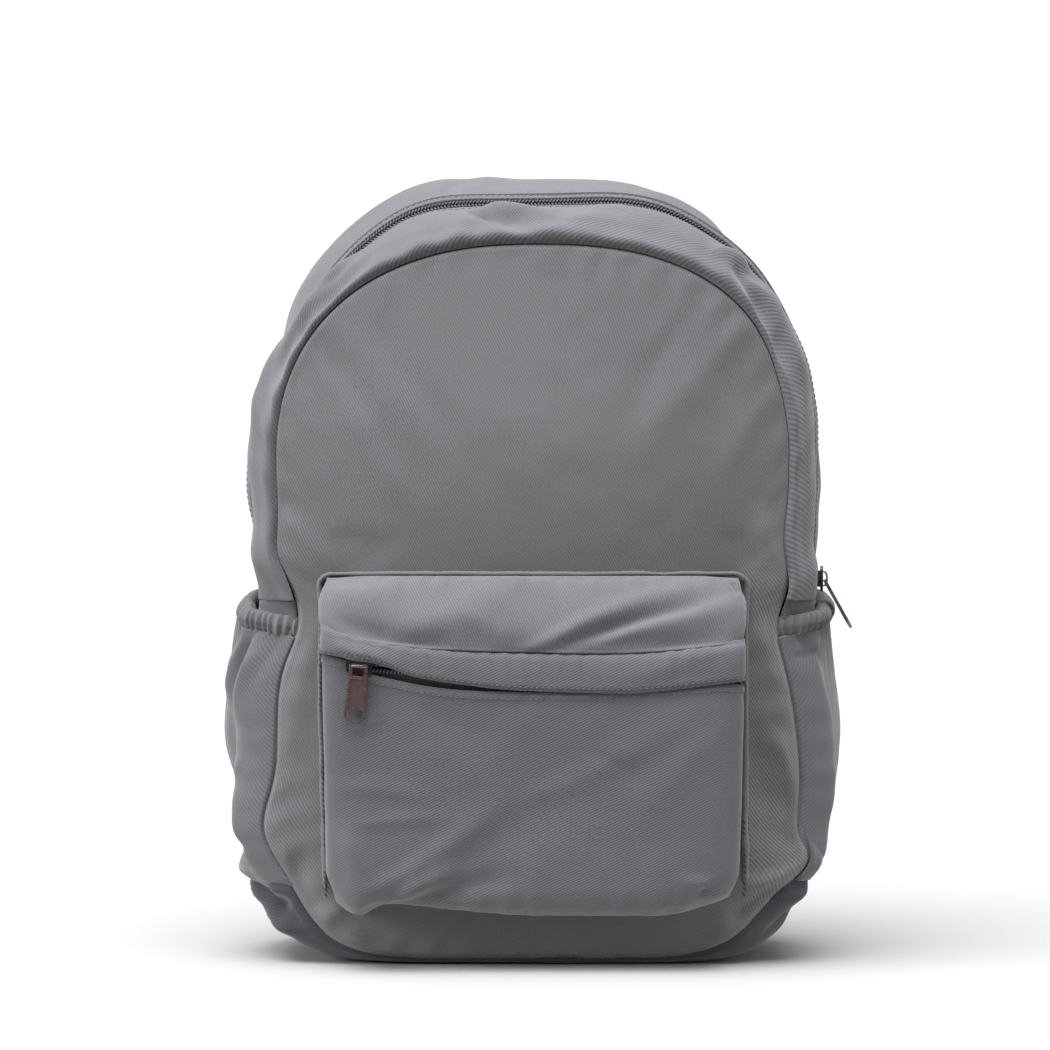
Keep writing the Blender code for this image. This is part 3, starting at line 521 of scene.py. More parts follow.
def srgb(*colour):
    """Linear values of an sRGB colour given from 0 to 255."""
    return tuple((c / 255 / 12.92) if c / 255 <= 0.04045 else ((c / 255 + 0.055) / 1.055) ** 2.4
                 for c in colour)


class Look:
    """A node material under construction."""

    def __init__(self, name, roughness, metallic=0.0, sheen=0.0, specular=0.5):
        self.material = bpy.data.materials.new(name)
        self.material.use_nodes = True
        self.tree = self.material.node_tree
        self.shader = self.tree.nodes["Principled BSDF"]
        self.shader.inputs["Roughness"].default_value = roughness
        self.shader.inputs["Metallic"].default_value = metallic
        self.shader.inputs["Specular IOR Level"].default_value = specular
        self.shader.inputs["Sheen Weight"].default_value = sheen
        self.shader.inputs["Sheen Roughness"].default_value = 0.5
        self.height = None

    def node(self, kind, **values):
        made = self.tree.nodes.new(kind)
        for key, value in values.items():
            if key in made.inputs:
                made.inputs[key].default_value = value
            else:
                setattr(made, key, value)
        return made

    def link(self, a, out, b, into):
        self.tree.links.new(a.outputs[out], b.inputs[into])

    def place(self, coordinate, angle=0.0):
        source = self.node("ShaderNodeTexCoord")
        turn = self.node("ShaderNodeMapping")
        turn.inputs["Rotation"].default_value = (0, 0, angle)
        self.link(source, coordinate, turn, "Vector")
        return turn

    def noise(self, size, coordinate="Object", detail=3.0, roughness=0.55):
        at = self.place(coordinate)
        made = self.node("ShaderNodeTexNoise", Scale=1 / size, Detail=detail, Roughness=roughness)
        self.link(at, "Vector", made, "Vector")
        return made, "Fac"

    def lines(self, pitch, angle=0.0, distort=0.0):
        """Bands with a pitch in metres, across the direction at an angle."""
        at = self.place("UV", angle)
        made = self.node("ShaderNodeTexWave", wave_type="BANDS", bands_direction="X",
                         wave_profile="SIN")
        made.inputs["Scale"].default_value = 2 * math.pi / pitch / 20
        made.inputs["Distortion"].default_value = distort
        made.inputs["Detail"].default_value = 2
        made.inputs["Detail Scale"].default_value = 1.5
        self.link(at, "Vector", made, "Vector")
        return made, "Fac"

    def spread(self, source, low, high, at=(0.3, 0.7)):
        ramp = self.node("ShaderNodeMapRange")
        for key, value in zip(("From Min", "From Max", "To Min", "To Max"), (*at, low, high)):
            ramp.inputs[key].default_value = value
        self.link(*source, ramp, "Value")
        return ramp, "Result"

    def math(self, operation, a, b):
        made = self.node("ShaderNodeMath", operation=operation)
        for k, value in enumerate((a, b)):
            if isinstance(value, tuple):
                self.link(*value, made, k)
            else:
                made.inputs[k].default_value = value
        return made, "Value"

    def mix(self, factor, a, b):
        """Between two colours, each given as numbers or as (node, output)."""
        made = self.node("ShaderNodeMix", data_type="RGBA", blend_type="MIX")
        self.link(*factor, made, 0)
        for value, k in ((a, 6), (b, 7)):
            if isinstance(value[0], (int, float)):
                made.inputs[k].default_value = (*value, 1)
            else:
                self.link(*value, made, k)
        return made, 2

    def colour(self, source):
        self.link(*source, self.shader, "Base Color")
        return self

    def rough(self, source):
        self.link(*source, self.shader, "Roughness")
        return self

    def bump(self, source, distance, strength=1.0):
        made = self.node("ShaderNodeBump")
        made.inputs["Distance"].default_value = distance
        made.inputs["Strength"].default_value = strength
        self.link(*source, made, "Height")
        if self.height is not None:
            self.link(self.height, "Normal", made, "Normal")
        self.height = made
        self.link(made, "Normal", self.shader, "Normal")
        return self


def twill(name, colour, angle, pitch=0.00125, contrast=0.36, sheen=0.30, relief=0.00024):
    """Steep twill with uneven yarns, cloudy wear and a little fuzz."""
    look = Look(name, 0.88, sheen=sheen, specular=0.2)
    wale = look.lines(pitch, angle, distort=0.6)
    yarn = look.lines(pitch * 0.52, angle + 1.75, distort=1.2)
    fibre = look.noise(0.0011, "UV", detail=4)
    cloud = look.noise(0.055, "Object", detail=3)
    weave = look.math("ADD", look.math("MULTIPLY", wale, 0.62), look.math("MULTIPLY", yarn, 0.16))
    weave = look.math("ADD", weave, look.math("MULTIPLY", fibre, 0.75))
    dark, pale = (shade(colour, k) for k in (1 - contrast, 1 + contrast))
    tone = look.mix(look.spread(weave, 0, 1, (0.2, 1.0)), dark, pale)
    worn = look.mix(look.spread(cloud, 0, 0.14, (0.35, 0.75)), tone, shade(colour, 1.5))
    look.colour(worn).rough(look.spread(weave, 0.82, 0.95)).bump(weave, relief, 0.75)
    return look.material


def webbing(name, colour, pitch=0.0016):
    """Ribbed nylon tape with a herringbone of two slanted sets of lines."""
    look = Look(name, 0.62, sheen=0.1, specular=0.4)
    one, two = look.lines(pitch, 0.9, 0.3), look.lines(pitch, -0.9, 0.3)
    ribs = look.math("MAXIMUM", one, two)
    fuzz = look.noise(0.0008, "UV", detail=4)
    both = look.math("ADD", look.math("MULTIPLY", ribs, 0.8), look.math("MULTIPLY", fuzz, 0.3))
    tone = look.mix(look.spread(both, 0, 1), shade(colour, 0.65), shade(colour, 1.3))
    look.colour(tone).rough(look.spread(both, 0.7, 0.5)).bump(both, 0.0003, 0.8)
    return look.material


def spacer_mesh(name, colour, pitch=0.0034):
    """Airy back mesh: rows of small dark holes between knitted threads."""
    look = Look(name, 0.85, sheen=0.2, specular=0.25)
    one, two = look.lines(pitch, 1.05, 0.2), look.lines(pitch, -1.05, 0.2)
    holes = look.math("MULTIPLY", one, two)
    fuzz = look.noise(0.0009, "UV", detail=3)
    both = look.math("ADD", holes, look.math("MULTIPLY", fuzz, 0.25))
    tone = look.mix(look.spread(both, 0, 1, (0.1, 0.75)), shade(colour, 0.4), shade(colour, 1.2))
    look.colour(tone).bump(both, 0.0006, 0.9)
    return look.material


def nylon(name, colour, roughness=0.42):
    """Moulded coil or thread: slight streaks and uneven gloss."""
    look = Look(name, roughness, specular=0.5)
    streak = look.noise(0.0016, "Object", detail=4)
    tone = look.mix(look.spread(streak, 0, 1), shade(colour, 0.7), shade(colour, 1.35))
    gloss = look.spread(streak, roughness - 0.1, roughness + 0.15)
    look.colour(tone).rough(gloss).bump(streak, 0.0001, 0.5)
    return look.material


def antique_metal(name, colour, rubbed):
    """Brushed antique copper, darker in patches and rubbed pale where it is handled."""
    look = Look(name, 0.36, metallic=0.75, specular=0.5)
    patch = look.noise(0.0045, "Object", detail=5, roughness=0.65)
    grain = look.noise(0.0007, "Object", detail=3)
    tone = look.mix(look.spread(patch, 0, 0.7, (0.38, 0.66)), colour, rubbed)
    tone = look.mix(look.spread(grain, 0, 0.25), tone, shade(colour, 0.45))
    look.colour(tone).rough(look.spread(patch, 0.38, 0.24)).bump(grain, 0.00005, 0.5)
    return look.material


def acetal(name, colour):
    """Black moulded plastic with a fine spark-eroded grain and a few scuffs."""
    look = Look(name, 0.45, specular=0.45)
    grain = look.noise(0.0004, "Object", detail=2)
    scuff = look.noise(0.006, "Object", detail=5, roughness=0.7)
    tone = look.mix(look.spread(scuff, 0, 0.5, (0.55, 0.8)), colour, shade(colour, 3))
    look.colour(tone).rough(look.spread(scuff, 0.38, 0.6)).bump(grain, 0.00006, 0.6)
    return look.material


GREY = srgb(96, 95, 98)
# The base's dark tone is partly its own darker cloth and partly painted shade for the bag's
# shadowed underside.
BASE_DARK_CLOTH_AND_SHADE = srgb(54, 53, 58)
STEEP, FLAT, SLANTED = -0.45, 1.12, 0.45  # the twill's run on pieces cut along, across and askew
# PANEL, POCKET, SLOPE, GUSSET and SIDE are one grey twill: their lighter and darker tones are
# painted light and shade, each set to how brightly its piece is lit.
PANEL = twill("grey_twill", srgb(97, 96, 99), STEEP)
POCKET = twill("grey_twill_pocket", srgb(86, 85, 89), FLAT)
SLOPE = twill("grey_twill_slope", srgb(90, 89, 93), STEEP)
GUSSET = twill("grey_twill_gusset", srgb(95, 94, 98), FLAT)
SIDE = twill("grey_twill_side", srgb(86, 85, 89), SLANTED, 0.00105, contrast=0.24, relief=0.00015)
STRAP = twill("grey_twill_strap", GREY, STEEP)
# The base twill's dark tone: partly a darker cloth, partly painted shade under the bag.
BASE = twill("grey_twill_base", BASE_DARK_CLOTH_AND_SHADE, STEEP)
BINDING = twill("binding_twill", GREY, 0.8, pitch=0.0009)
EDGE = twill("edge_binding", srgb(62, 62, 67), 0.8, pitch=0.0008)
TAPE = webbing("zip_tape", srgb(42, 42, 47), pitch=0.0009)
COIL = nylon("zip_coil", srgb(78, 79, 86))
THREAD = nylon("thread", srgb(96, 96, 102), 0.6)
DARK_THREAD = nylon("overlock_thread", srgb(48, 47, 52), 0.7)
WEBBING = webbing("webbing", srgb(48, 48, 54))
MESH = spacer_mesh("back_mesh", srgb(80, 82, 88))
COPPER = antique_metal("antique_copper", srgb(104, 82, 79), srgb(160, 142, 138))
# Darker copper for the slider's crown is painted shade, so the crown seen through the puller's
# window reads dark.
SHADED_CROWN_COPPER = antique_metal("shaded_copper", srgb(62, 51, 50), srgb(104, 90, 87))
INLAY = antique_metal("recessed_copper", srgb(116, 97, 92), srgb(140, 121, 116))
BLACK = acetal("black_acetal", srgb(26, 26, 29))


FOLDING = ("pack", "lid")
SIDES = ((-1, "left"), (1, "right"))
FRONT, BACK = (0.0, -1.0, 0.0), (0.0, 1.0, 0.0)
STITCH_PROUD = 0.0001
CLOSE_STITCH = {"pitch": 0.0030, "long": 0.0021}
OVERLOCK = {"pitch": 0.0030, "long": 0.0026, "wide": 0.0007, "high": 0.0006, "twist": 0.75}


def finished(piece, *nodes, body="pack", slot="twill", pad=None):
    """A piece rides on its body, or has its transform baked in when given a pair of bodies, and
    stands for its CAD nodes. Its slot is not used.
    """
    if isinstance(body, tuple):
        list(body)
        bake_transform(piece)
    else:
        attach(piece, body)
    if nodes:
        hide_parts(*nodes)


def panel(node, grid, look, outward, *more, kind="cloth", thick=CLOTH, uv=None, wrap=False,
          **finish):
    """A sheet of cloth that stands for a CAD node, and for any more given."""
    finished(cloth(f"{node}.{kind}", grid, thick, look, outward, uv, wrap), node, *more, **finish)


def tube(node, kind, rings, look, **finish):
    """A closed body through rings that stands for a CAD node."""
    finished(loft(f"{node}.{kind}", rings, look), node, **finish)


def sewn(name, path, outs, look=THREAD, body="pack", slot="twill", **sizes):
    """A row of stitches; outs is one direction, or one for each point of the path."""
    outs = np.broadcast_to(outs, np.shape(path))
    finished(stitches(name, path, outs, look, **sizes), body=body, slot=slot)


def sewn_row(name, shell, outward, row, trim, **options):
    """Stitches along one row of a cloth's grid, a little proud of it and short of its ends."""
    out = facing(shell, outward)[row, trim:-trim]
    sewn(name, shell[row, trim:-trim] + out * STITCH_PROUD, out, **options)


# ---------- bag shell ----------

def disc(y, inset, count, rings):
    """(x, z) over the outline at a depth, with the run along its edge and distance from it."""
    loop = np.concatenate([arch(y, OUTLINE_CUT_Z, count), trough(y, OUTLINE_CUT_Z, count)[1:-1]])
    centre = np.array([0.0, 0.13])
    reach = np.linalg.norm(loop - centre, axis=1, keepdims=True)
    loop = centre + (loop - centre) * (1 - inset / reach)
    t = np.linspace(0, 1, rings)[:, None, None]
    core, crowding = 0.0005, 1.3  # the hole left at the centre; rings stand closer at the edge
    share = core + (1 - core) * (1 - (1 - t) ** crowding)
    flat = centre + (loop - centre)[None] * share
    away = np.linalg.norm(loop - centre, axis=1)[None] * (1 - share[..., 0])
    return flat[..., 0], flat[..., 1], np.broadcast_to(run_along(loop), away.shape), away


PANEL_FOLDS = (
    (-105, 355, -43, 264, 9, 1.1), (-77, 345, -20, 240, 9, -1), (-120, 322, -53, 240, 7.5, 1),
    (-114, 345, -58, 250, 7, -0.9), (114, 360, 57, 279, 8.5, 1.2), (81, 345, 38, 274, 9, -1),
    (128, 303, 90, 250, 8, 1), (-127, 246, -115, 205, 8, 1.8), (118, 243, 136, 200, 8, 2),
    (100, 231, 114, 205, 9, -1), (-100, 235, -85, 212, 11, -0.9), (-122, 180, -127, 100, 8, 1.4),
    (-131, 100, -128, 55, 6, 1.2), (122, 185, 132, 120, 9, 1.6), (129, 125, 150, 68, 6, 3),
    (119, 130, 126, 66, 7.5, -2.6), (110, 41, 152, 54.5, 5, 4.8), (106, 28, 146, 42, 5.5, -4),
    (-116, 62, -128, 30, 6, -1.8), (-100, 30, -120, 18, 6, 2))


def front_panel():
    x, z, run, away = disc(FRONT_Y, 0.0008, 330, 125)
    rise = ridges(x, z, PANEL_FOLDS) + slack(x, z, 1, 0.0008)
    rise += puckers(run, away, 0.0011, 0.021, seed=2)
    rise = rise * smooth(away / 0.008) - SEAM_SINK * bell(away, 0, 0.0016)
    grid = settled(np.stack([x, dome_y(x, z) - 0.0006 - rise, z], -1))
    piece = cloth("front_panel", grid, CLOTH, PANEL, FRONT, side_by_side(x, z), wrap=True)
    finished(piece, "front_panel_upper", "front_panel_lower", body=FOLDING)


def outline_grid(curve, z_from, depths, count):
    """A grid of points on the bag's outline at several depths."""
    return np.stack([np.insert(curve(y, z_from, count), 1, y, axis=1) for y in depths])


def depth_share(y, depths):
    """0 at the first of the depths and 1 at the last."""
    return (y - depths[0]) / (depths[-1] - depths[0])


def top_share(z):
    return after(z, 0.30, 0.06)


# Folds of the strip before the zip, as (run to the right from the top, y, ...) lines.
GUSSET_FOLDS = (
    (-92, -45, -185, -44, 5, -4.4), (108, -45, 170, -44, 5, -4.6), (-300, -36, -400, -34, 3, -3),
    (300, -34, 400, -32, 3, -3), (-40, -26, -3, -47, 4, -3.6), (-34, -19, 4, -42, 4.5, 2.6),
    (-3, -50, 30, -40, 5, 1.2), (-100, -30, -150, -42, 4.5, 2.2), (-105, -40, -165, -30, 4, -1.8),
    (-150, -26, -215, -36, 5, 1.6), (104, -46, 128, -24, 5, -2.4), (92, -44, 114, -22, 5, 2),
    (130, -46, 190, -34, 5, 1.6), (-290, -43, -385, -38, 5, 2.2), (-300, -30, -380, -33, 4.5, -2),
    (-280, -22, -385, -22, 5, 1.6), (295, -42, 385, -37, 5, 2.2), (300, -29, 380, -33, 4.5, -2))


def gusset_front():
    depths = np.linspace(FRONT_Y + 0.0004, ZIP_Y - CLOTH_EDGE, 34)
    grid = outline_grid(arch, ZIP_END_Z, depths, 560)
    run, y, z = -metres_uv(grid)[..., 0], grid[..., 1], grid[..., 2]
    t = depth_share(y, depths)
    puff = 0.0034 * np.sin(np.pi * t ** 0.6) * (0.45 + 0.55 * top_share(z))
    seam = 0.0024 * bell(t, 0, 0.03)
    rise = puff - seam + (1.5 * ridges(run, y, GUSSET_FOLDS) + slack(run, y, 2, 0.0012, 0.03)
                          + puckers(run, t * 0.042, 0.0013, 0.023, seed=4)) * within(t, 0.12, 0.2)
    rise *= 0.15 + 0.85 * after(z, ZIP_END_Z, 0.022)
    hem = 0.0006 * bell(t, 0.93, 0.035)
    rise += hem - 0.0012 * top_share(z) * after(t, 0.72, 0.28)
    grid = grid + facing(grid, (0, 0, 1)) * rise[..., None]
    grid[..., 1] -= 0.0040 * bell(t, 0.07, 0.10)  # the edge that stands out before the front seam
    gusset(grid, run, y, "front", -5, FOLDING, "gusset_end_left", "gusset_end_right")


def gusset(grid, run, y, word, row, body, *nodes):
    """The cloth of one zip gusset and the stitching that holds it to the tape."""
    shell, up = settled(grid), (0, 0, 1)
    panel("zip_gusset_" + word, shell, GUSSET, up, *nodes, uv=side_by_side(run, y * 1.06),
          body=body, slot="twill_light")
    sewn_row(f"gusset_{word}_stitch", shell, up, row, 6, body=body, slot="twill_light")


REAR_FOLDS = (
    (-60, 0, -30, 30, 6, -0.8), (-40, 6, -12, 40, 8, 0.5), (-130, 10, -190, 35, 10, 0.7),
    (-190, 2, -260, 20, 10, -0.6), (60, 10, 120, 40, 10, 1.4), (150, 6, 210, 30, 9, -1.6),
    (240, 10, 330, 22, 10, 1.6), (-260, 35, -350, 30, 10, 1.6), (300, 50, 380, 42, 9, -1.8),
    (-330, 10, -395, 14, 8, 2))


def gusset_rear():
    depths = stretches((ZIP_Y + CLOTH_EDGE, 14), (0.0, 34), (BACK_Y, 1))
    grid = outline_grid(arch, ZIP_END_Z, depths, 480)
    run, y, z = -metres_uv(grid)[..., 0], grid[..., 1], grid[..., 2]
    t = depth_share(y, depths)
    rise = (1.6 * ridges(run, y, REAR_FOLDS) + slack(run, y, 3, 0.0014)
            + puckers(run, (1 - t) * 0.08, 0.0010, 0.018, seed=6)) * within(t, 0.07, 0.05)
    hem, seam = 0.0007 * bell(t, 0.035, 0.018), 0.0022 * bell(t, 1, 0.014)
    rise += hem + 0.0012 * top_share(z) * before(t, 0.13, 0.13)
    rise -= seam
    gusset(grid + facing(grid, (0, 0, 1)) * rise[..., None], run, y, "rear", 4, "pack")


BASE_FOLDS = (
    (-150, -50, -186, -30, 4.5, 5), (-142, -50, -178, -20, 5, -5), (-132, -46, -168, -6, 5.5, 5),
    (-160, -30, -190, -2, 5, -4), (-128, -50, -150, -36, 3.5, -3), (-150, 0, -180, 30, 7, 3),
    (138, -50, 180, -20, 6, 4.6), (150, -52, 186, -36, 4.5, -4.6), (130, -40, 172, 0, 5.5, -4),
    (150, -10, 182, 30, 7, 3.4))


def base_panel():
    depths = stretches((FRONT_Y + 0.0004, 18), (-0.034, 36), (BACK_Y, 1))
    seam_z, under = BASE_SEAM_Z + 0.004, (0, 0, -1)
    grid = outline_grid(trough, seam_z, depths, 360)
    run, y, z = metres_uv(grid)[..., 0], grid[..., 1], grid[..., 2]
    t = depth_share(y, depths)
    corner = after(np.abs(run), 0.10, 0.05)
    rise = 0.0022 * corner * np.sin(np.pi * t) ** 0.5
    rise += slack(run, y, 5, 0.0014, 0.03) * (0.3 + corner)
    rise += corner * (0.0012 * bell(y, -0.042, 0.007) + ridges(run, y, BASE_FOLDS))
    front_seam, back_seam = SEAM_SINK * bell(t, 0, 0.012), 0.0018 * bell(t, 1, 0.014)
    rise -= front_seam + back_seam
    rise = rise * before(z, seam_z, 0.014) - 0.0022 * after(z, 0.038, 0.008)
    grid = grid + facing(grid, under) * rise[..., None]
    grid[..., 2] = np.maximum(grid[..., 2], 0.0004)  # it stands flat on the floor
    panel("base_panel", settled(grid), BASE, under, uv=side_by_side(run, y))


def side_gussets():
    y, z = np.meshgrid(np.linspace(FRONT_Y + 0.0016, BACK_Y, 50),
                       np.linspace(BASE_SEAM_Z, ZIP_END_Z, 60))
    for side, word in SIDES:
        x = side_x(y, z) + slack(y, z, 7 + side, 0.0007) * before(z, ZIP_END_Z, 0.01)
        grid = settled(np.stack([side * x, y, z], -1))
        panel("side_gusset_" + word, grid, SIDE, (side, 0, 0), uv=side_by_side(y, z))


# ---------- main zip ----------

def zip_line(z_from, count):
    """Places, tangents, across (towards the back) and outward directions along the main zip."""
    def plain(v):
        return v / np.linalg.norm(v, axis=1, keepdims=True)

    def part(a, b):
        return np.sum(a * b, axis=1, keepdims=True)

    depths = ZIP_Y + np.array((-0.002, 0, 0.002))
    fore, line, aft = settled(outline_grid(arch, z_from, depths, count))
    tangent = plain(np.gradient(line, axis=0))
    across = aft - fore
    across = plain(across - tangent * part(across, tangent))
    out = np.cross(across, tangent)
    out = np.where(part(out, line - np.array([0, 0, 0.2])) < 0, -out, out)
    lean = (ZIP_LEAN * top_share(line[:, 2]))[:, None]
    c, s = np.cos(lean), np.sin(lean)
    return line, tangent, across * c + out * s, out * c - across * s


def coil_row(name, body, sign, line, *stubs):
    """One row of slanted coil teeth with its tape; sign is the side of the slot it stands on."""
    places, _, across, out = line
    run = run_along(places)
    wide = COIL_EDGE - SLOT
    frames = []
    for s in np.arange(TOOTH_PITCH * (0.5 if sign > 0 else 1.0), run[-1], TOOTH_PITCH):
        spot, t, c, o = (at_run(s, run, v) for v in line)
        lie = c * sign * math.cos(TOOTH_SLANT) - t * math.sin(TOOTH_SLANT)
        frames.append((spot + c * sign * (SLOT + wide / 2) - o * 0.0006, lie, np.cross(o, lie), o))
    tooth = bead(wide / math.cos(TOOTH_SLANT) * 1.08, TOOTH_PITCH * 0.62, 0.0017)
    finished(scattered(name + ".teeth", *tooth, frames, COIL), name, *stubs, body=body, slot="zip")
    spans = (SLOT + 0.0002, COIL_EDGE, CLOTH_EDGE, 0.0062, TAPE_EDGE - 0.0005)
    depths = (0.0010, 0.0011, 0.0017, 0.0021, 0.0021)  # the tape goes under the cloth
    grid = np.stack([places + across * sign * a - out * d for a, d in zip(spans, depths)])
    tape = cloth(name + ".teeth.tape", grid, 0.0006, TAPE, out[len(out) // 2])
    finished(tape, body=body, slot="zip")


def main_zip():
    line = zip_line(ZIP_END_Z + GAP, 520)
    coil_row("zip_coil_front", FOLDING, -1, line, "zip_stub_left", "zip_stub_right")
    coil_row("zip_coil_rear", "pack", 1, line)


# ---------- sliders and pullers ----------

def rounded(half_u, half_v, radius, steps=6, v_at=0.0):
    """A rectangle's outline with round corners, about (0, v_at)."""
    loop = []
    for k, (su, sv) in enumerate(((1, 1), (-1, 1), (-1, -1), (1, -1))):
        for s in range(steps + 1):
            a = math.radians(90 * (k + s / steps))
            loop.append((su * (half_u - radius) + radius * math.cos(a),
                         v_at + sv * (half_v - radius) + radius * math.sin(a)))
    return loop


def plate(name, loops, low, high, place, look, bevel=0.0003):
    """A flat plate with holes and softened edges; place maps (u, v, w) to the world."""
    flat = [spot for loop in loops for spot in loop]
    triangles = tessellate_polygon([[Vector((u, v, 0)) for u, v in loop] for loop in loops])
    count = len(flat)
    points = [place(u, v, w) for w in (high, low) for u, v in flat]
    faces = [tuple(t) for t in triangles]
    faces += [tuple(count + k for k in reversed(t)) for t in triangles]
    start = 0
    for loop in loops:
        for k in range(len(loop)):
            a, b = start + k, start + (k + 1) % len(loop)
            faces.append((a, b, count + b, count + a))
        start += len(loop)
    piece = from_arrays(name, points, faces, look)
    edges = piece.modifiers.new("edges", "BEVEL")
    edges.width, edges.segments, edges.limit_method = bevel, 3, "ANGLE"
    edges.angle_limit = math.radians(35)
    edges.harden_normals = True
    return piece


def frame_at(origin, u, v, w):
    origin, u, v, w = (np.array(k, float) for k in (origin, u, v, w))
    return lambda a, b, c: tuple(origin + u * a + v * b + w * c)


def slider(name, centre, chain, out):
    """Die-cast slider: a waisted upper plate, a lower plate, their post, and the bail."""
    place = frame_at(centre, np.cross(out, chain), chain, out)
    half, wide = SLIDER_LONG / 2, SLIDER_WIDE / 2
    edge = []
    for a in turns(48):
        c, s = math.cos(a), math.sin(a)
        waist = 1 - 0.16 * float(smooth(abs(s) * 1.4 - 0.3)) * (s < 0)
        edge.append((wide * squared(c, 0.55) * waist, half * squared(s, 0.55)))
    smaller = [(u * 0.92, v * 0.92) for u, v in edge]
    post = rounded(0.00035, half - 0.0025, 0.0003, 2)
    # The crown's darker copper is painted shade behind the puller's window.
    crown = plate(name + ".crown", [edge], CROWN, CROWN + PLATE, place, SHADED_CROWN_COPPER, 0.0005)
    finished(crown, name, body=name, slot="metal")
    rings = []
    bow, thick = BAIL_LONG / 2 - 0.0006, 0.00055
    for a in np.linspace(0, math.pi, 26):
        tilt = math.atan2(math.cos(a) * 0.55, 1.0)
        v, w = bow * math.cos(a), 0.0013 + (BAIL_RISE + 0.0004) * math.sin(a) ** 0.5
        rings.append([place(0.00085 * math.cos(k), v + thick * math.sin(k) * math.sin(tilt) * 1.2,
                            w + thick * math.sin(k) * math.cos(tilt)) for k in turns(10)])
    for piece in (plate(name + ".sole", [smaller], SOLE - PLATE, SOLE, place, COPPER, 0.0004),
                  plate(name + ".post", [post], *POST, place, COPPER, 0.0001),
                  loft(name + ".bail", rings, COPPER)):
        finished(piece, body=name, slot="metal")


def puller(name, pivot, hang, flat, long):
    """Cast puller: a window for the bail, a recessed grip in a raised rim, and an open loop."""
    place = frame_at(pivot, np.cross(flat, hang), hang, flat)
    grip, thick, rim = PULLER_WIDE / 2, PULLER_THICK / 2, PULLER_RIM
    round_v = long - thick - grip
    grip_low, grip_high = 0.0074, round_v - 0.0026
    grip_half, grip_mid = (grip_high - grip_low) / 2, (grip_low + grip_high) / 2

    def tapered(loop):
        return [(u * (0.84 + 0.16 * float(smooth(v / round_v))), v) for u, v in loop]

    def rounded_end(radius, low, corner):
        turn = [(radius * math.cos(a), round_v + radius * math.sin(a))
                for a in np.linspace(0, math.pi, 22)]
        square = rounded(radius, 1.0, corner, 4, low + 1.0)
        return turn + [(u, v) for u, v in square if v < low + corner + 1e-6]

    edge = tapered(rounded_end(grip, -thick, 0.0016))
    window = rounded(0.0031, 0.0026, 0.0008, 4, thick + 0.0026)
    recess = tapered(rounded(grip - rim, grip_half, 0.0007, 4, grip_mid))
    hole = tapered(rounded_end(grip - rim, grip_high + 0.0010, 0.0006))
    floor = tapered(rounded(grip - rim + 0.0005, grip_half + 0.0005, 0.0007, 4, grip_mid))
    loops = [edge, window, recess, hole]
    piece = plate(name + ".rim", loops, -thick, thick, place, COPPER, 0.00042)
    finished(piece, name, body=name, slot="metal")
    piece = plate(name + ".inlay", [floor], -thick * 0.30, thick * 0.30, place, INLAY, 0.0001)
    finished(piece, body=name, slot="metal")


def main_pull():
    near = 0.0004
    ahead, at, behind = (float(side_x(ZIP_Y + d, MAIN_SLIDER_Z)) for d in (near, 0, -near))
    out, up = unit((1.0, -(ahead - behind) / (2 * near), 0.0)), np.array((0.0, 0.0, 1.0))
    centre = np.array((at, ZIP_Y, MAIN_SLIDER_Z))
    slider("main_slider", centre, up, out)
    s, c = math.sin(MAIN_PULLER_TILT), math.cos(MAIN_PULLER_TILT)
    pivot = centre + out * PIVOT_RISE - up * 0.0012
    puller("main_puller", pivot, out * s - up * c, out * c + up * s, MAIN_PULLER_LONG)


def pocket_pull():
    (x0, z0), (x1, z1) = POCKET_ZIP_LEFT, POCKET_ZIP_RIGHT
    out = np.array(FRONT)
    centre = np.array((POCKET_SLIDER_X, POCKET_FACE_Y, zip_z(POCKET_SLIDER_X)))
    slider("pocket_slider", centre, unit((x1 - x0, 0, z1 - z0)), out)
    hang = np.array((-math.sin(PULLER_SWAY), 0.0, -math.cos(PULLER_SWAY)))
    pivot = centre + out * PIVOT_RISE + np.array((0, 0, 0.0006))
    puller("pocket_puller", pivot, hang, out, PULLER_LONG)


# ---------- front pocket ----------

def pocket_grid(steps, height, half=POCKET_HALF, stand=1.0, face_y=POCKET_FACE_Y, power=9.0):
    """Levels of the pocket at steps from 0 to 1, at height(x, step).

    The rest are numbers, or one number for each step.
    """
    levels = np.broadcast_arrays(steps, half, stand, face_y, power)
    return np.array([pocket_row(h, s, y, lambda x: height(x, t), p)
                     for t, h, s, y, p in zip(*levels)])


def pocket_row(half, stand, face_y, height, power):
    """One level of the pocket: out from the panel, across its face and back.

    The power squares off its corners: 2 is an ellipse.
    """
    a = np.linspace(0, math.pi, 1600)
    c, s = np.cos(a), np.sin(a)
    x = -half * np.sign(c) * np.abs(c) ** (2 / power)
    seat = dome_y(x, height(x)) - POCKET_SEAT
    line = even(np.stack([x, seat + (face_y - seat) * stand * s ** (2 / power)], 1), POCKET_COLUMNS)
    return np.stack([line[:, 0], line[:, 1], height(line[:, 0])], 1)


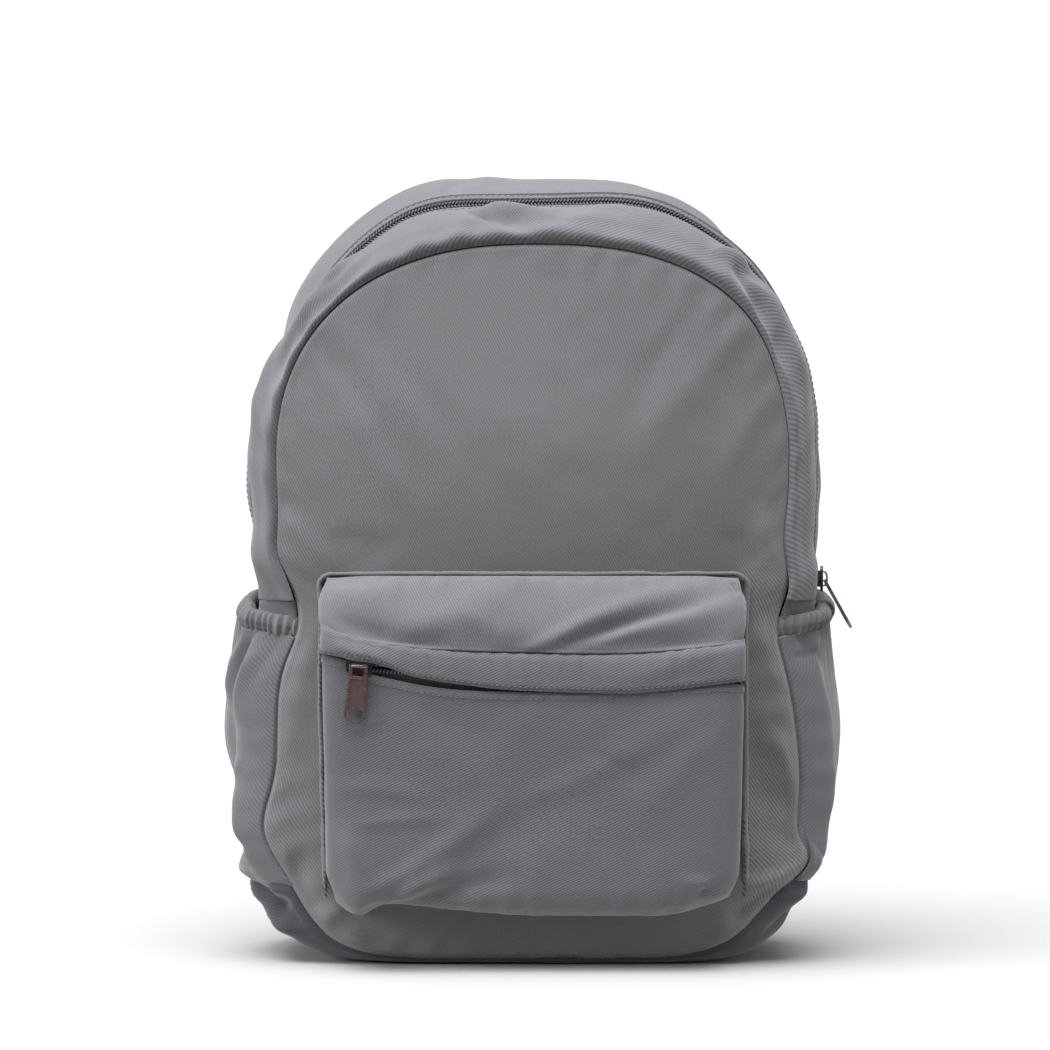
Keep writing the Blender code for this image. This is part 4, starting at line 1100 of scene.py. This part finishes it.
BORDER_LEAN_LEFT, BORDER_LEAN_RIGHT = 0.0030, 0.0012  # how far the border's low ends come in
POCKET_FOOT = ((-0.1115, 0.0400), (-0.0916, 0.0282), (-0.078, 0.0344), (-0.041, 0.0312),
               (0.0, 0.0282), (0.065, 0.0280), (0.1115, 0.0395))
TOP_STAND = ((0.0, 0.03), (0.08, 0.26), (0.28, 0.54), (0.55, 0.80), (0.78, 0.94), (1.0, 1.010))
FACE_STAND = ((0.0, 0.02), (0.006, 0.35), (0.02, 0.62), (0.06, 0.85), (0.14, 0.96), (0.32, 1.0),
              (1.0, 1.0))
TOP_FOLDS = (
    (-4, 169, 94, 204.5, 5.5, 3.4), (36, 173.5, 112, 199, 4.6, 3),
    (18, 172, 106, 201.5, 4.5, -3.6), (-78, 180, 4, 204, 9, 3), (-108, 190, -45, 173, 6.5, -3.4),
    (-108, 201.5, -70, 198, 6, 2), (-18, 199, 26, 178, 9, -1.8),
    (105.3, 205.8, 106.9, 197.9, 2, -2), (-40, 188, -6, 172, 6, 1.4), (60, 171, 112, 186, 6, -1.6))
FLAP_FOLDS = (
    (-105, 176, -70, 160, 4, 1.2), (100, 168, 40, 156, 6, 1))
FACE_FOLDS = (
    (-98.8, 38, -10, 90, 6, 1.8), (-10, 90, 98, 146, 8, 1.1), (-70, 40, 30, 95, 12, -1.4),
    (-94.2, 80.5, -38, 80.5, 4, 0.9), (-103.5, 99.4, -52, 92.2, 4.5, 0.8),
    (-96, 78, -91.6, 32, 8, 3), (-80, 40, -33, 56, 5.5, 3), (-72, 38.5, -6, 49, 5.6, -3),
    (79, 52.5, 105, 38.4, 4.5, 1.6), (86, 44, 102, 46, 3, -2), (28, 119, 56, 99, 4.5, -0.8),
    (100, 132, 50, 70, 10, 0.8), (20, 140, 70, 148, 5, -0.7), (-60, 146, -20, 120, 7, -0.8))


def pocket_cloth(node, grid, rise, look, outward, slot="twill"):
    """One panel of the pocket, moved out from its plain grid by a rise."""
    uv = metres_uv(grid)
    uv[..., 1] = grid[..., 2]
    shell = grid + facing(grid, outward) * rise[..., None]
    panel(node, shell, look, outward, uv=uv, slot=slot)
    return shell


def pocket_top():
    """The slope from the front panel down to the flap."""
    def height(x, t):
        top = POCKET_TOP_Z - 0.0012 * after(np.abs(x), 0.085, 0.025)
        return top + (along(FLAP_SEAM, x) - 0.0006 - top) * t

    steps = np.linspace(0, 1, 56)
    half = POCKET_HALF - 0.0004 - 0.0014 * smooth(1 - steps / 0.85)
    grid = pocket_grid(steps, height, half, along(TOP_STAND, steps))
    x, z, t = grid[..., 0], grid[..., 2], steps[:, None]
    rise = (0.0024 * np.sin(np.pi * t) + ridges(x, z, TOP_FOLDS) + slack(x, z, 11, 0.0007, 0.03)
            + puckers(x, t * 0.05, 0.0010, 0.013, 0.008, 12)) * within(t, 0.05, 0.06)
    pocket_cloth("pocket_top", grid, rise, SLOPE, (0, -1, 0.5), "twill_light")


def pocket_flap():
    """The band that hangs over the zip."""
    def height(x, t):
        seam = along(FLAP_SEAM, x) + 0.0012
        return seam + (along(FLAP_EDGE, x) - seam) * t

    steps = np.linspace(0, 1, 34)
    grid = pocket_grid(steps, height, face_y=POCKET_FACE_Y - along(FLAP_ROLL, steps), power=16.0)
    x, z, t = grid[..., 0], grid[..., 2], steps[:, None]
    rise = slack(x, z, 14, 0.0004, 0.025) + puckers(x, t * 0.024, 0.0006, 0.010, 0.010, 15)
    rise *= smooth(t / 0.2)
    stitched = 0.0004 * bell(t, 0.93, 0.03)
    rise += ridges(x, z, FLAP_FOLDS) - stitched
    over_slider = bell(x, POCKET_SLIDER_X, 0.015)
    rise += 0.0022 * over_slider * after(t, 0.3, 0.5)
    shell = pocket_cloth("pocket_flap", grid, rise, POCKET, FRONT)
    sewn_row("flap_stitch", shell, FRONT, 30, 14, **CLOSE_STITCH)


def pocket_face():
    """The face with its sides and floor, from the foot up to the zip."""
    def height(x, t):
        foot = along(POCKET_FOOT, x)
        return foot + (zip_z(x) - 0.0034 - along(FACE_DROP, x) - foot) * t

    steps = stretches((0, 14), (0.06, 62), (0.94, 10), (1, 1))
    narrow = 0.0010 + 0.0012 * (1 - steps) + 0.0046 * (1 - smooth(steps * 8))
    hang = 0.0085 * (1 - smooth(steps / 0.95))
    grid = pocket_grid(steps, height, POCKET_HALF - narrow, along(FACE_STAND, steps),
                       POCKET_FACE_Y + hang, 9.0 + 7.0 * smooth(steps * 1.6))
    x, z, t = grid[..., 0], grid[..., 2], steps[:, None]
    rise = (ridges(x, z, FACE_FOLDS) + slack(x, z, 16, 0.0007, 0.04)) * within(t, 0.05, 0.12)
    rise += puckers(x, (1 - t) * 0.12, 0.0005, 0.012, 0.008, 17) * before(t, 1, 0.03)
    rise += puckers(x, t * 0.12, 0.0010, 0.016, 0.012, 18) * smooth(t / 0.03)
    rise += 0.0007 * bell(t, 0.975, 0.016)  # the turned hem along the zip
    shell = pocket_cloth("pocket_face", grid, rise, POCKET, FRONT)
    sewn_row("face_stitch", shell, FRONT, -6, 40, **CLOSE_STITCH)


def pocket_border():
    """A thin bound roll round the pocket on the panel, with overlocking down its sides."""
    low, high, outer = POCKET_LOW_Z + 0.006, POCKET_TOP_Z + 0.0010, POCKET_HALF + 0.0022
    arc = [(u, v) for u, v in rounded(outer, high - 0.12, 0.0070, 10, 0.12) if v > 0.12]
    path = even([(outer, low)] + arc + [(-outer, low)], 420)
    lean = np.where(path[:, 0] < 0, BORDER_LEAN_LEFT, -BORDER_LEAN_RIGHT)
    path[:, 0] += lean * before(path[:, 1], 0.165, 0.120)
    run, front = run_along(path), np.array(FRONT)
    rings, spots = [], []
    for k, (x, z) in enumerate(path):
        ahead = heading(path, k)
        side = unit((ahead[1], 0.0, -ahead[0]))
        wave = 1 + 0.22 * float(lumps(run[k], 0.2, 0.006, 21))
        wave += 0.10 * math.sin(run[k] / 0.0034 * 2 * math.pi)
        to_end = min(run[k], run[-1] - run[k])
        wave *= 0.15 + 0.85 * float(smooth(to_end / 0.012))
        centre = np.array((x, float(dome_y(x, z)) - 0.0024, z))
        centre += side * 0.0003 * float(lumps(run[k], 0.7, 0.011, 22))
        rings.append([centre + (side * 0.0013 * math.cos(a) + front * 0.0017 * math.sin(a)) * wave
                      for a in turns(14)])
        spots.append(centre + front * 0.0016 - side * 0.0002)
    tube("pocket_binding", "roll", settled(rings), BINDING)
    spots = settled(spots)
    for side, word, top_z in ((1, "right", 0.080), (-1, "left", 0.196)):
        some = (side * spots[:, 0] > 0.106) & (spots[:, 2] < top_z)
        sewn("overlock_" + word, spots[some], FRONT, DARK_THREAD, **OVERLOCK)


def pocket_zip():
    count = 160
    x = np.linspace(POCKET_ZIP_LEFT[0], POCKET_ZIP_RIGHT[0], count)
    places = np.stack([x, np.full(count, POCKET_FACE_Y), zip_z(x)], 1)
    tangent, out = np.tile(unit(places[-1] - places[0]), (count, 1)), np.tile(FRONT, (count, 1))
    up = np.cross(tangent, out)
    up *= np.sign(up[:, 2:3])
    for word, sign in (("upper", 1), ("lower", -1)):
        coil_row("pocket_coil_" + word, "pack", sign, (places, tangent, up, out))


# ---------- side pockets ----------

SIDE_FOLDS = {
    "left": (
        (-35.5, 177, -23.5, 138, 3.5, -5), (-27.5, 174, -13, 138, 6.5, 4),
        (-43, 172, -35, 128, 5, 3), (-47, 176, -44, 140, 2.8, -2.2), (-12, 134, -36, 92, 8, -2.4),
        (-30, 120, -20, 60, 8, 2), (-42, 110, -30, 105, 5, 1.2), (-44, 62, -20, 56, 5, -2.2),
        (30, 178, 24, 110, 8, -1.4), (50, 176, 40, 80, 8, 1.6)),
    "right": (
        (-50, 167, -34, 164.5, 3, -2.4), (-44, 176, -43, 165, 3, -1.8),
        (-40, 160, -33, 110, 8, 1.4), (-30, 100, -20, 60, 8, -1.6), (20, 178, 18, 100, 8, 1.4),
        (46, 176, 40, 90, 8, -1.4))}


GATHER, GATHER_PITCH, RUCK_PITCH = {"left": 0.0022, "right": 0.0012}, 0.0105, 0.0044


def mouth_z(w):
    """Height of a side pocket's mouth, from front seam to back seam."""
    return SIDE_MOUTH_Z + MOUTH_TILT * (2 * np.clip(w, 0, 1) ** 0.7 - 1)


def bulge(t, w):
    """How far a side pocket stands off the bag: t from base to mouth, w from front to back."""
    full, edge = along(BULGE, t), -0.0012 + 0.0040 * smooth(w * 6)
    return edge + (full - edge) * np.sin(np.pi * np.clip(w, 0, 1)) ** 0.55


def side_pocket(side, word):
    """One elastic-mouthed pocket; the base seam pulls in the right one's lower front corner."""
    w, t = np.meshgrid(np.linspace(0, 1, 150) ** 1.15, np.linspace(0, 1, 120))
    y = SIDE_FRONT_Y - 0.0024 + (SIDE_BACK_Y - SIDE_FRONT_Y + 0.001) * w
    z = SIDE_LOW_Z - 0.006 + (mouth_z(w) - SIDE_LOW_Z + 0.006) * t
    phase = 2 * math.pi * (y / GATHER_PITCH + 0.4 * lumps(y, z, 0.03, 33 + side))
    gathers = GATHER[word] * (0.6 + 0.4 * lumps(y, 0 * y, 0.02, 31 + side)) * np.sin(phase)
    gathers = gathers * np.exp(-np.maximum(0, mouth_z(w) - z) / 0.016) * within(w, 0.06, 0.06)
    calm = within(w, 0.08, 0.08) * smooth(t / 0.05)
    rise = ridges(y, z, SIDE_FOLDS[word]) * calm * before(t, 1.08, 0.12)
    rise += slack(y, z, 34 + side, 0.0012, 0.035) * calm + gathers
    rise += puckers(z, w * 0.12, 0.0008, 0.017, 0.010, 35 + side) * smooth(w / 0.03)
    foot_sink = 0.0040 * (1 - smooth(t / 0.05))
    rise -= foot_sink
    rise -= CORNER_PULL[word] * bell(z, SIDE_LOW_Z, 0.020) * before(y, 0.030, 0.050)
    grid = settled(np.stack([side * (side_x(y, z) + bulge(t, w) + rise), y, z], -1))
    panel("side_pocket_" + word, grid, SIDE, (side, 0, 0), thick=THIN, uv=side_by_side(y, z))


def elastic(side, word):
    """The gathered binding round a side pocket's mouth."""
    w = np.linspace(0, 1, 420)
    tucked = 1 - smooth(w / 0.045)  # its front end goes into the seam
    y, z = SIDE_FRONT_Y + (SIDE_BACK_Y - SIDE_FRONT_Y - 0.001) * w, mouth_z(w) + 0.0048
    x = side_x(y, z) + np.maximum(bulge(1.0, w), 0.0050) - 0.0006 - 0.0068 * tucked
    path = np.stack([x, y], 1)
    run, around, rings = run_along(path), turns(22), []
    for k, (out_x, out_y) in enumerate(path):
        ahead = heading(path, k)
        away = unit((ahead[1], -ahead[0]))
        phase = 2 * math.pi * (run[k] / RUCK_PITCH + 0.55 * float(lumps(run[k], 0.4, 0.015, 41)))
        ruck = 1 + 0.32 * np.sin(phase + 0.9 * np.sin(around)) + 0.07 * np.sin(2.3 * phase + around)
        ruck = ruck * (1 - 0.25 * tucked[k])
        plump = 1 + 0.12 * float(lumps(run[k], 0.9, 0.02, 42))
        a = 0.0036 * plump * ruck * np.cos(around)
        b = 0.0058 * (0.85 + 0.15 * ruck) * np.sin(around)
        rings.append(np.stack([side * (out_x + away[0] * a - 0.0018), out_y + away[1] * a,
                               z[k] + b], 1))
    tube("elastic_" + word, "binding", settled(rings), BINDING, slot="elastic")


# ---------- back ----------

def back_panel():
    """Padded back under spacer mesh, quilted into a border, a spine channel and cross channels."""
    x, z, _, away = disc(BACK_Y, 0.0010, 230, 96)
    border = 0.030
    inside = after(away, border, 0.004)
    groove = 0.0040 * bell(away, border, 0.0030)
    for middle in SPINE_CHANNELS:
        channel = CHANNEL_DEEP * bell(x, middle, CHANNEL_WIDE)
        groove = np.maximum(groove, channel * inside)
    outer = inside * after(np.abs(x), 0.020, 0.004)
    for height in CROSS_CHANNELS:
        channel = CHANNEL_DEEP * bell(z - 0.35 * np.abs(x), height, CHANNEL_WIDE)
        groove = np.maximum(groove, channel * outer)
    rise = PANEL_THICK * smooth(away / 0.016) ** 0.6 - groove * smooth(away / 0.012)
    rise += slack(x, z, 51, 0.0006, 0.03) * smooth(away / 0.02)
    rise = np.clip(rise, 0, PANEL_THICK + 0.0006)
    grid = settled(np.stack([x, BACK_Y + 0.0006 + rise, z], -1))
    panel("back_panel", grid, MESH, BACK, kind="pad", uv=side_by_side(x, z), wrap=True,
          pad=BACK_FILL)


def ribbon_rings(spots, across, half, thick, corner=0.35):
    """Rings of a flat band along points; half may vary."""
    spots, across = np.asarray(spots, float), np.asarray(across, float)
    half = np.broadcast_to(half, len(spots))
    rings = []
    for k, spot in enumerate(spots):
        run = unit(heading(spots, k))
        side = unit(across - run * np.dot(across, run))
        out = np.cross(side, run)
        rings.append([spot + side * (half[k] * squared(math.cos(a), corner))
                      + out * (thick / 2 * squared(math.sin(a), 0.75)) for a in turns(28)])
    return np.array(rings)


def strap(side, word):
    """A padded shoulder strap with bound edges and two rows of stitching."""
    knots = [(k / (len(STRAP_PATH) - 1), *p) for k, p in enumerate(STRAP_PATH)]
    at = np.linspace(0, 1, 110)
    x, y, z, wide = (along([(k[0], k[c]) for k in knots], at) for c in (1, 2, 3, 4))
    full = smooth(at / 0.07)
    thin = 0.35 + 0.65 * full  # the strap's top end is pressed flat and sewn on the yoke's edge
    spots = np.stack([side * x, y - 0.0040 * (1 - full), z + 0.0065 * (1 - full)], 1)
    rings = ribbon_rings(spots, (1, 0, 0), wide / 2 - 0.0012, STRAP_THICK - 0.0006, 0.42)
    centre = rings.mean(1, keepdims=True)
    reach = np.abs(rings[..., 0] - centre[..., 0]) / (wide[:, None] / 2)
    run = np.linspace(0, 1, len(at))[:, None] * 0.22
    pinch = 1 - 0.30 * bell(reach, 0.80, 0.10)
    pinch += 0.05 * lumps(run + 0 * reach, reach * 0.02, 0.02, 61)
    same = np.ones_like(pinch)
    rings = centre + (rings - centre) * np.stack([same, pinch * thin[:, None], same], -1)
    tube("strap_" + word, "pad", rings, STRAP, pad=STRAP_FILL)
    for edge, where in ((-1, "inner"), (1, "outer")):
        line = spots + np.stack([edge * (wide / 2 - 0.0016), 0 * wide, 0 * wide], 1)
        rings = ribbon_rings(line, BACK, 0.0034 * thin, 0.0030, 0.8)
        finished(loft(f"strap_{word}.edge_{where}", rings, EDGE))
        inwards = wide / 2 - 0.0062
        seam = spots + np.stack([edge * inwards, STRAP_THICK * 0.36 * thin, 0 * wide], 1)
        sewn(f"strap_{word}.stitch_{where}", seam[3:-3], BACK, pitch=0.0036)


def buckle(side, word):
    """Ladder lock, the tab that holds it, and the webbing through it."""
    end = np.array((side * STRAP_PATH[-1][0], *STRAP_PATH[-1][1:3]))
    foot = np.array((side * WEB_FOOT[0], *WEB_FOOT[1:]))
    run = unit(end - foot)
    out = unit(np.array(BACK) - run * run[1])
    across = np.cross(run, out)
    place = frame_at(end - run * LOCK_BELOW, across, run, out)
    slots = [rounded(LOCK_SLOT, half, 0.0010, 4, v) for half, v in LOCK_SLOTS]
    rim = rounded(*LOCK_HALF, 0.0040, 8)
    lock = plate(f"ladder_lock_{word}.body", [rim] + slots, -LOCK_THICK / 2, LOCK_THICK / 2, place,
                 BLACK, 0.0007)
    finished(lock, "ladder_lock_" + word, slot="plastic")
    for node, line, wide, thick, look, slot in (
            ("lock_tab", LOCK_TAB, TAB_WIDE, THIN, EDGE, "twill"),
            ("webbing", WEB_LINE, WEB_WIDE - 0.001, WEB_THICK, WEBBING, "webbing")):
        spots = [np.array(place(0, v, w)) for v, w in even(line, 60)]
        rings = ribbon_rings(spots, across, wide / 2, thick, 0.22)
        tube(f"{node}_{word}", "band", rings, look, slot=slot)
    anchor(side, word, np.array(place(0, -0.0710, -0.0032)), across)


def anchor(side, word, tip, across):
    """The tab that spreads from the webbing's end to the bag's lower corner."""
    def across_x(*ends):
        return sorted(ends, key=lambda c: c[0])

    near, far = across_x(tip + across * 0.0125, tip - across * 0.0125)
    low = np.array((side * 0.134, BACK_Y + 0.0142, 0.026))
    low_near, low_far = across_x(low + np.array((side * 0.004, 0, 0.022)),
                                 low + np.array((-side * 0.022, 0, -0.006)))
    s, t = (v[..., None] for v in np.meshgrid(np.linspace(0, 1, 26), np.linspace(0, 1, 22)))
    grid = (near * (1 - s) + far * s) * (1 - t) + (low_near * (1 - s) + low_far * s) * t
    puff = 0.0006 + 0.0005 * np.sin(np.pi * s) ** 0.4 * np.sin(np.pi * t) ** 0.4
    grid = grid + puff * np.array(BACK)
    panel("webbing_anchor_" + word, grid, EDGE, BACK, kind="tab")
    row = grid[11, 3:-3]
    there_and_back = np.concatenate([row, row[::-1] + np.array((0, 0, 0.006))])
    sewn(f"webbing_anchor_{word}.stitch", there_and_back, BACK, pitch=0.0032)


def yoke_and_loop():
    """The panel that the straps are sewn to, and the haul loop that hangs from it."""
    y0 = BACK_Y + 0.0005 + PANEL_THICK + GAP
    rows, cols = 36, 110
    z, s = np.linspace(YOKE_LOW_Z, YOKE_TOP_Z, rows), np.linspace(-1, 1, cols)
    half = np.interp(z, (YOKE_LOW_Z, YOKE_LOW_Z + 0.016, YOKE_TOP_Z),
                     (YOKE_HALF, YOKE_HALF - 0.008, 0.045))
    x, v = half[:, None] * s[None], np.broadcast_to(z[:, None], (rows, cols))
    rim = np.minimum(half[:, None] * (1 - np.abs(s))[None],
                     np.minimum(z - YOKE_LOW_Z, YOKE_TOP_Z - z)[:, None])
    puff = 0.0024 * smooth((rim + 0.0008) / 0.004) - 0.0010 * bell(rim, 0.006, 0.0012)
    grid = np.stack([x, y0 + 0.0002 + puff, v], -1)
    panel("back_yoke", grid, EDGE, BACK, thick=THIN, uv=side_by_side(x, v))
    border = np.concatenate([grid[5, 6:-6], grid[6:30, -6], grid[30, 6:-6][::-1],
                             grid[6:30, 4][::-1]])
    sewn("back_yoke.stitch", border, BACK)
    a = np.linspace(0, math.pi, 80)
    middle = y0 + 0.0024 + GAP + 0.0006 + LOOP_WIDE / 2
    spots = np.stack([LOOP_HALF * np.cos(a), np.full(80, middle),
                      LOOP_TOP_Z - LOOP_DROP * np.sin(a) ** 0.7], 1)
    rings = ribbon_rings(spots, BACK, LOOP_WIDE / 2, LOOP_THICK, 0.30)
    tube("haul_loop", "band", rings, WEBBING, body="haul_loop", slot="webbing")


# ---------- studio ----------

CAMERA_AT, CAMERA_AIM_Z = (-0.0040, -1.98), 0.236
SUBJECT_DISTANCE, FRAME_WIDE, SENSOR = 2.0, 0.5833, 36.0
BAG_MIDDLE = (0.0, 0.0, 0.22)
FLOOR_TONE, SKY_TONE, FLOOR_REACH = (0.44, 0.435, 0.43), (0.96, 0.99, 1.0), 0.46
# Strengths of the sky above and below, the seen backdrop, the sun, and four soft boxes
SKY, GROUND, BACKDROP, OVERHEAD = 0.42, 0.05, 1.1, 5.9
KEY, FILL, BACK_LIGHT, GLINT = 38.0, 14.0, 3.0, 0.7
SUBJECT_DISTANCE, FRAME_WIDE, SENSOR = 2.0, 0.5833, 36.0


def aim(thing, at):
    """Stand a lamp somewhere and turn it to the bag's middle."""
    thing.location = at
    thing.rotation_euler = (Vector(BAG_MIDDLE) - thing.location).to_track_quat("-Z", "Y").to_euler()


def softbox(name, at, size, power):
    lamp = bpy.data.lights.new(name, "AREA")
    lamp.shape, lamp.size, lamp.size_y = "RECTANGLE", *size
    lamp.energy = power
    aim(added(name, lamp), at)


def backdrop():
    """A sky that is brighter above than below, and plain pale behind the bag."""
    world = bpy.data.worlds.new("studio")
    world.use_nodes = True
    nodes, links = world.node_tree.nodes, world.node_tree.links
    sky = nodes["Background"]
    sky.inputs["Color"].default_value = (*SKY_TONE, 1)
    seen, way = nodes.new("ShaderNodeLightPath"), nodes.new("ShaderNodeTexCoord")
    parts = nodes.new("ShaderNodeSeparateXYZ")
    level, dome = nodes.new("ShaderNodeMapRange"), nodes.new("ShaderNodeMapRange")
    level.inputs["To Max"].default_value = BACKDROP
    for key, value in (("From Min", -0.05), ("From Max", 0.5), ("To Min", GROUND), ("To Max", SKY)):
        dome.inputs[key].default_value = value
    for source, output, target, socket in (
            (way, "Generated", parts, "Vector"), (parts, "Z", dome, "Value"),
            (dome, "Result", level, "To Min"), (seen, "Is Camera Ray", level, "Value"),
            (level, "Result", sky, "Strength")):
        links.new(source.outputs[output], target.inputs[socket])
    bpy.context.scene.world = world


def studio():
    scene = bpy.context.scene
    floor = bpy.data.meshes.new("floor")
    rim = [(FLOOR_REACH * math.cos(a), FLOOR_REACH * math.sin(a), 0) for a in turns(96)]
    floor.from_pydata(rim, [], [range(96)])
    look = Look("studio_floor", 0.9, specular=0.1)
    look.shader.inputs["Base Color"].default_value = (*FLOOR_TONE, 1)
    floor.materials.append(look.material)
    added("floor", floor)
    backdrop()
    sun = bpy.data.lights.new("overhead", "SUN")
    sun.energy, sun.angle, sun.color = OVERHEAD, math.radians(55), (0.97, 1.0, 1.0)
    aim(added("overhead", sun), (-0.18, -0.46, 1.60))
    softbox("key", (-2.2, -0.9, 0.8), (0.9, 0.9), KEY)
    softbox("fill", (2.2, -0.5, 0.5), (1.2, 1.2), FILL)
    softbox("rim", (0.2, 1.3, 1.3), (1.6, 0.9), BACK_LIGHT)
    softbox("glint", (0.1, -2.7, 0.5), (1.4, 0.9), GLINT)
    camera = bpy.data.cameras.new("camera")
    camera.sensor_width = SENSOR
    camera.lens = SENSOR * SUBJECT_DISTANCE / FRAME_WIDE
    camera.clip_start, camera.clip_end = 0.05, 60
    camera.dof.use_dof = False
    view = added("camera", camera)
    view.location = (*CAMERA_AT, CAMERA_AIM_Z)
    view.rotation_euler = (math.pi / 2, 0, 0)
    scene.camera = view
    scene.view_settings.view_transform = "Standard"
    scene.view_settings.look = "None"


def build():
    studio()
    for make in (front_panel, gusset_front, gusset_rear, base_panel, side_gussets, main_zip,
                 main_pull, pocket_top, pocket_flap, pocket_face, pocket_border, pocket_zip,
                 pocket_pull):
        make()
    for side, word in SIDES:
        for make in (side_pocket, elastic, strap, buckle):
            make(side, word)
    back_panel()
    yoke_and_loop()


build()
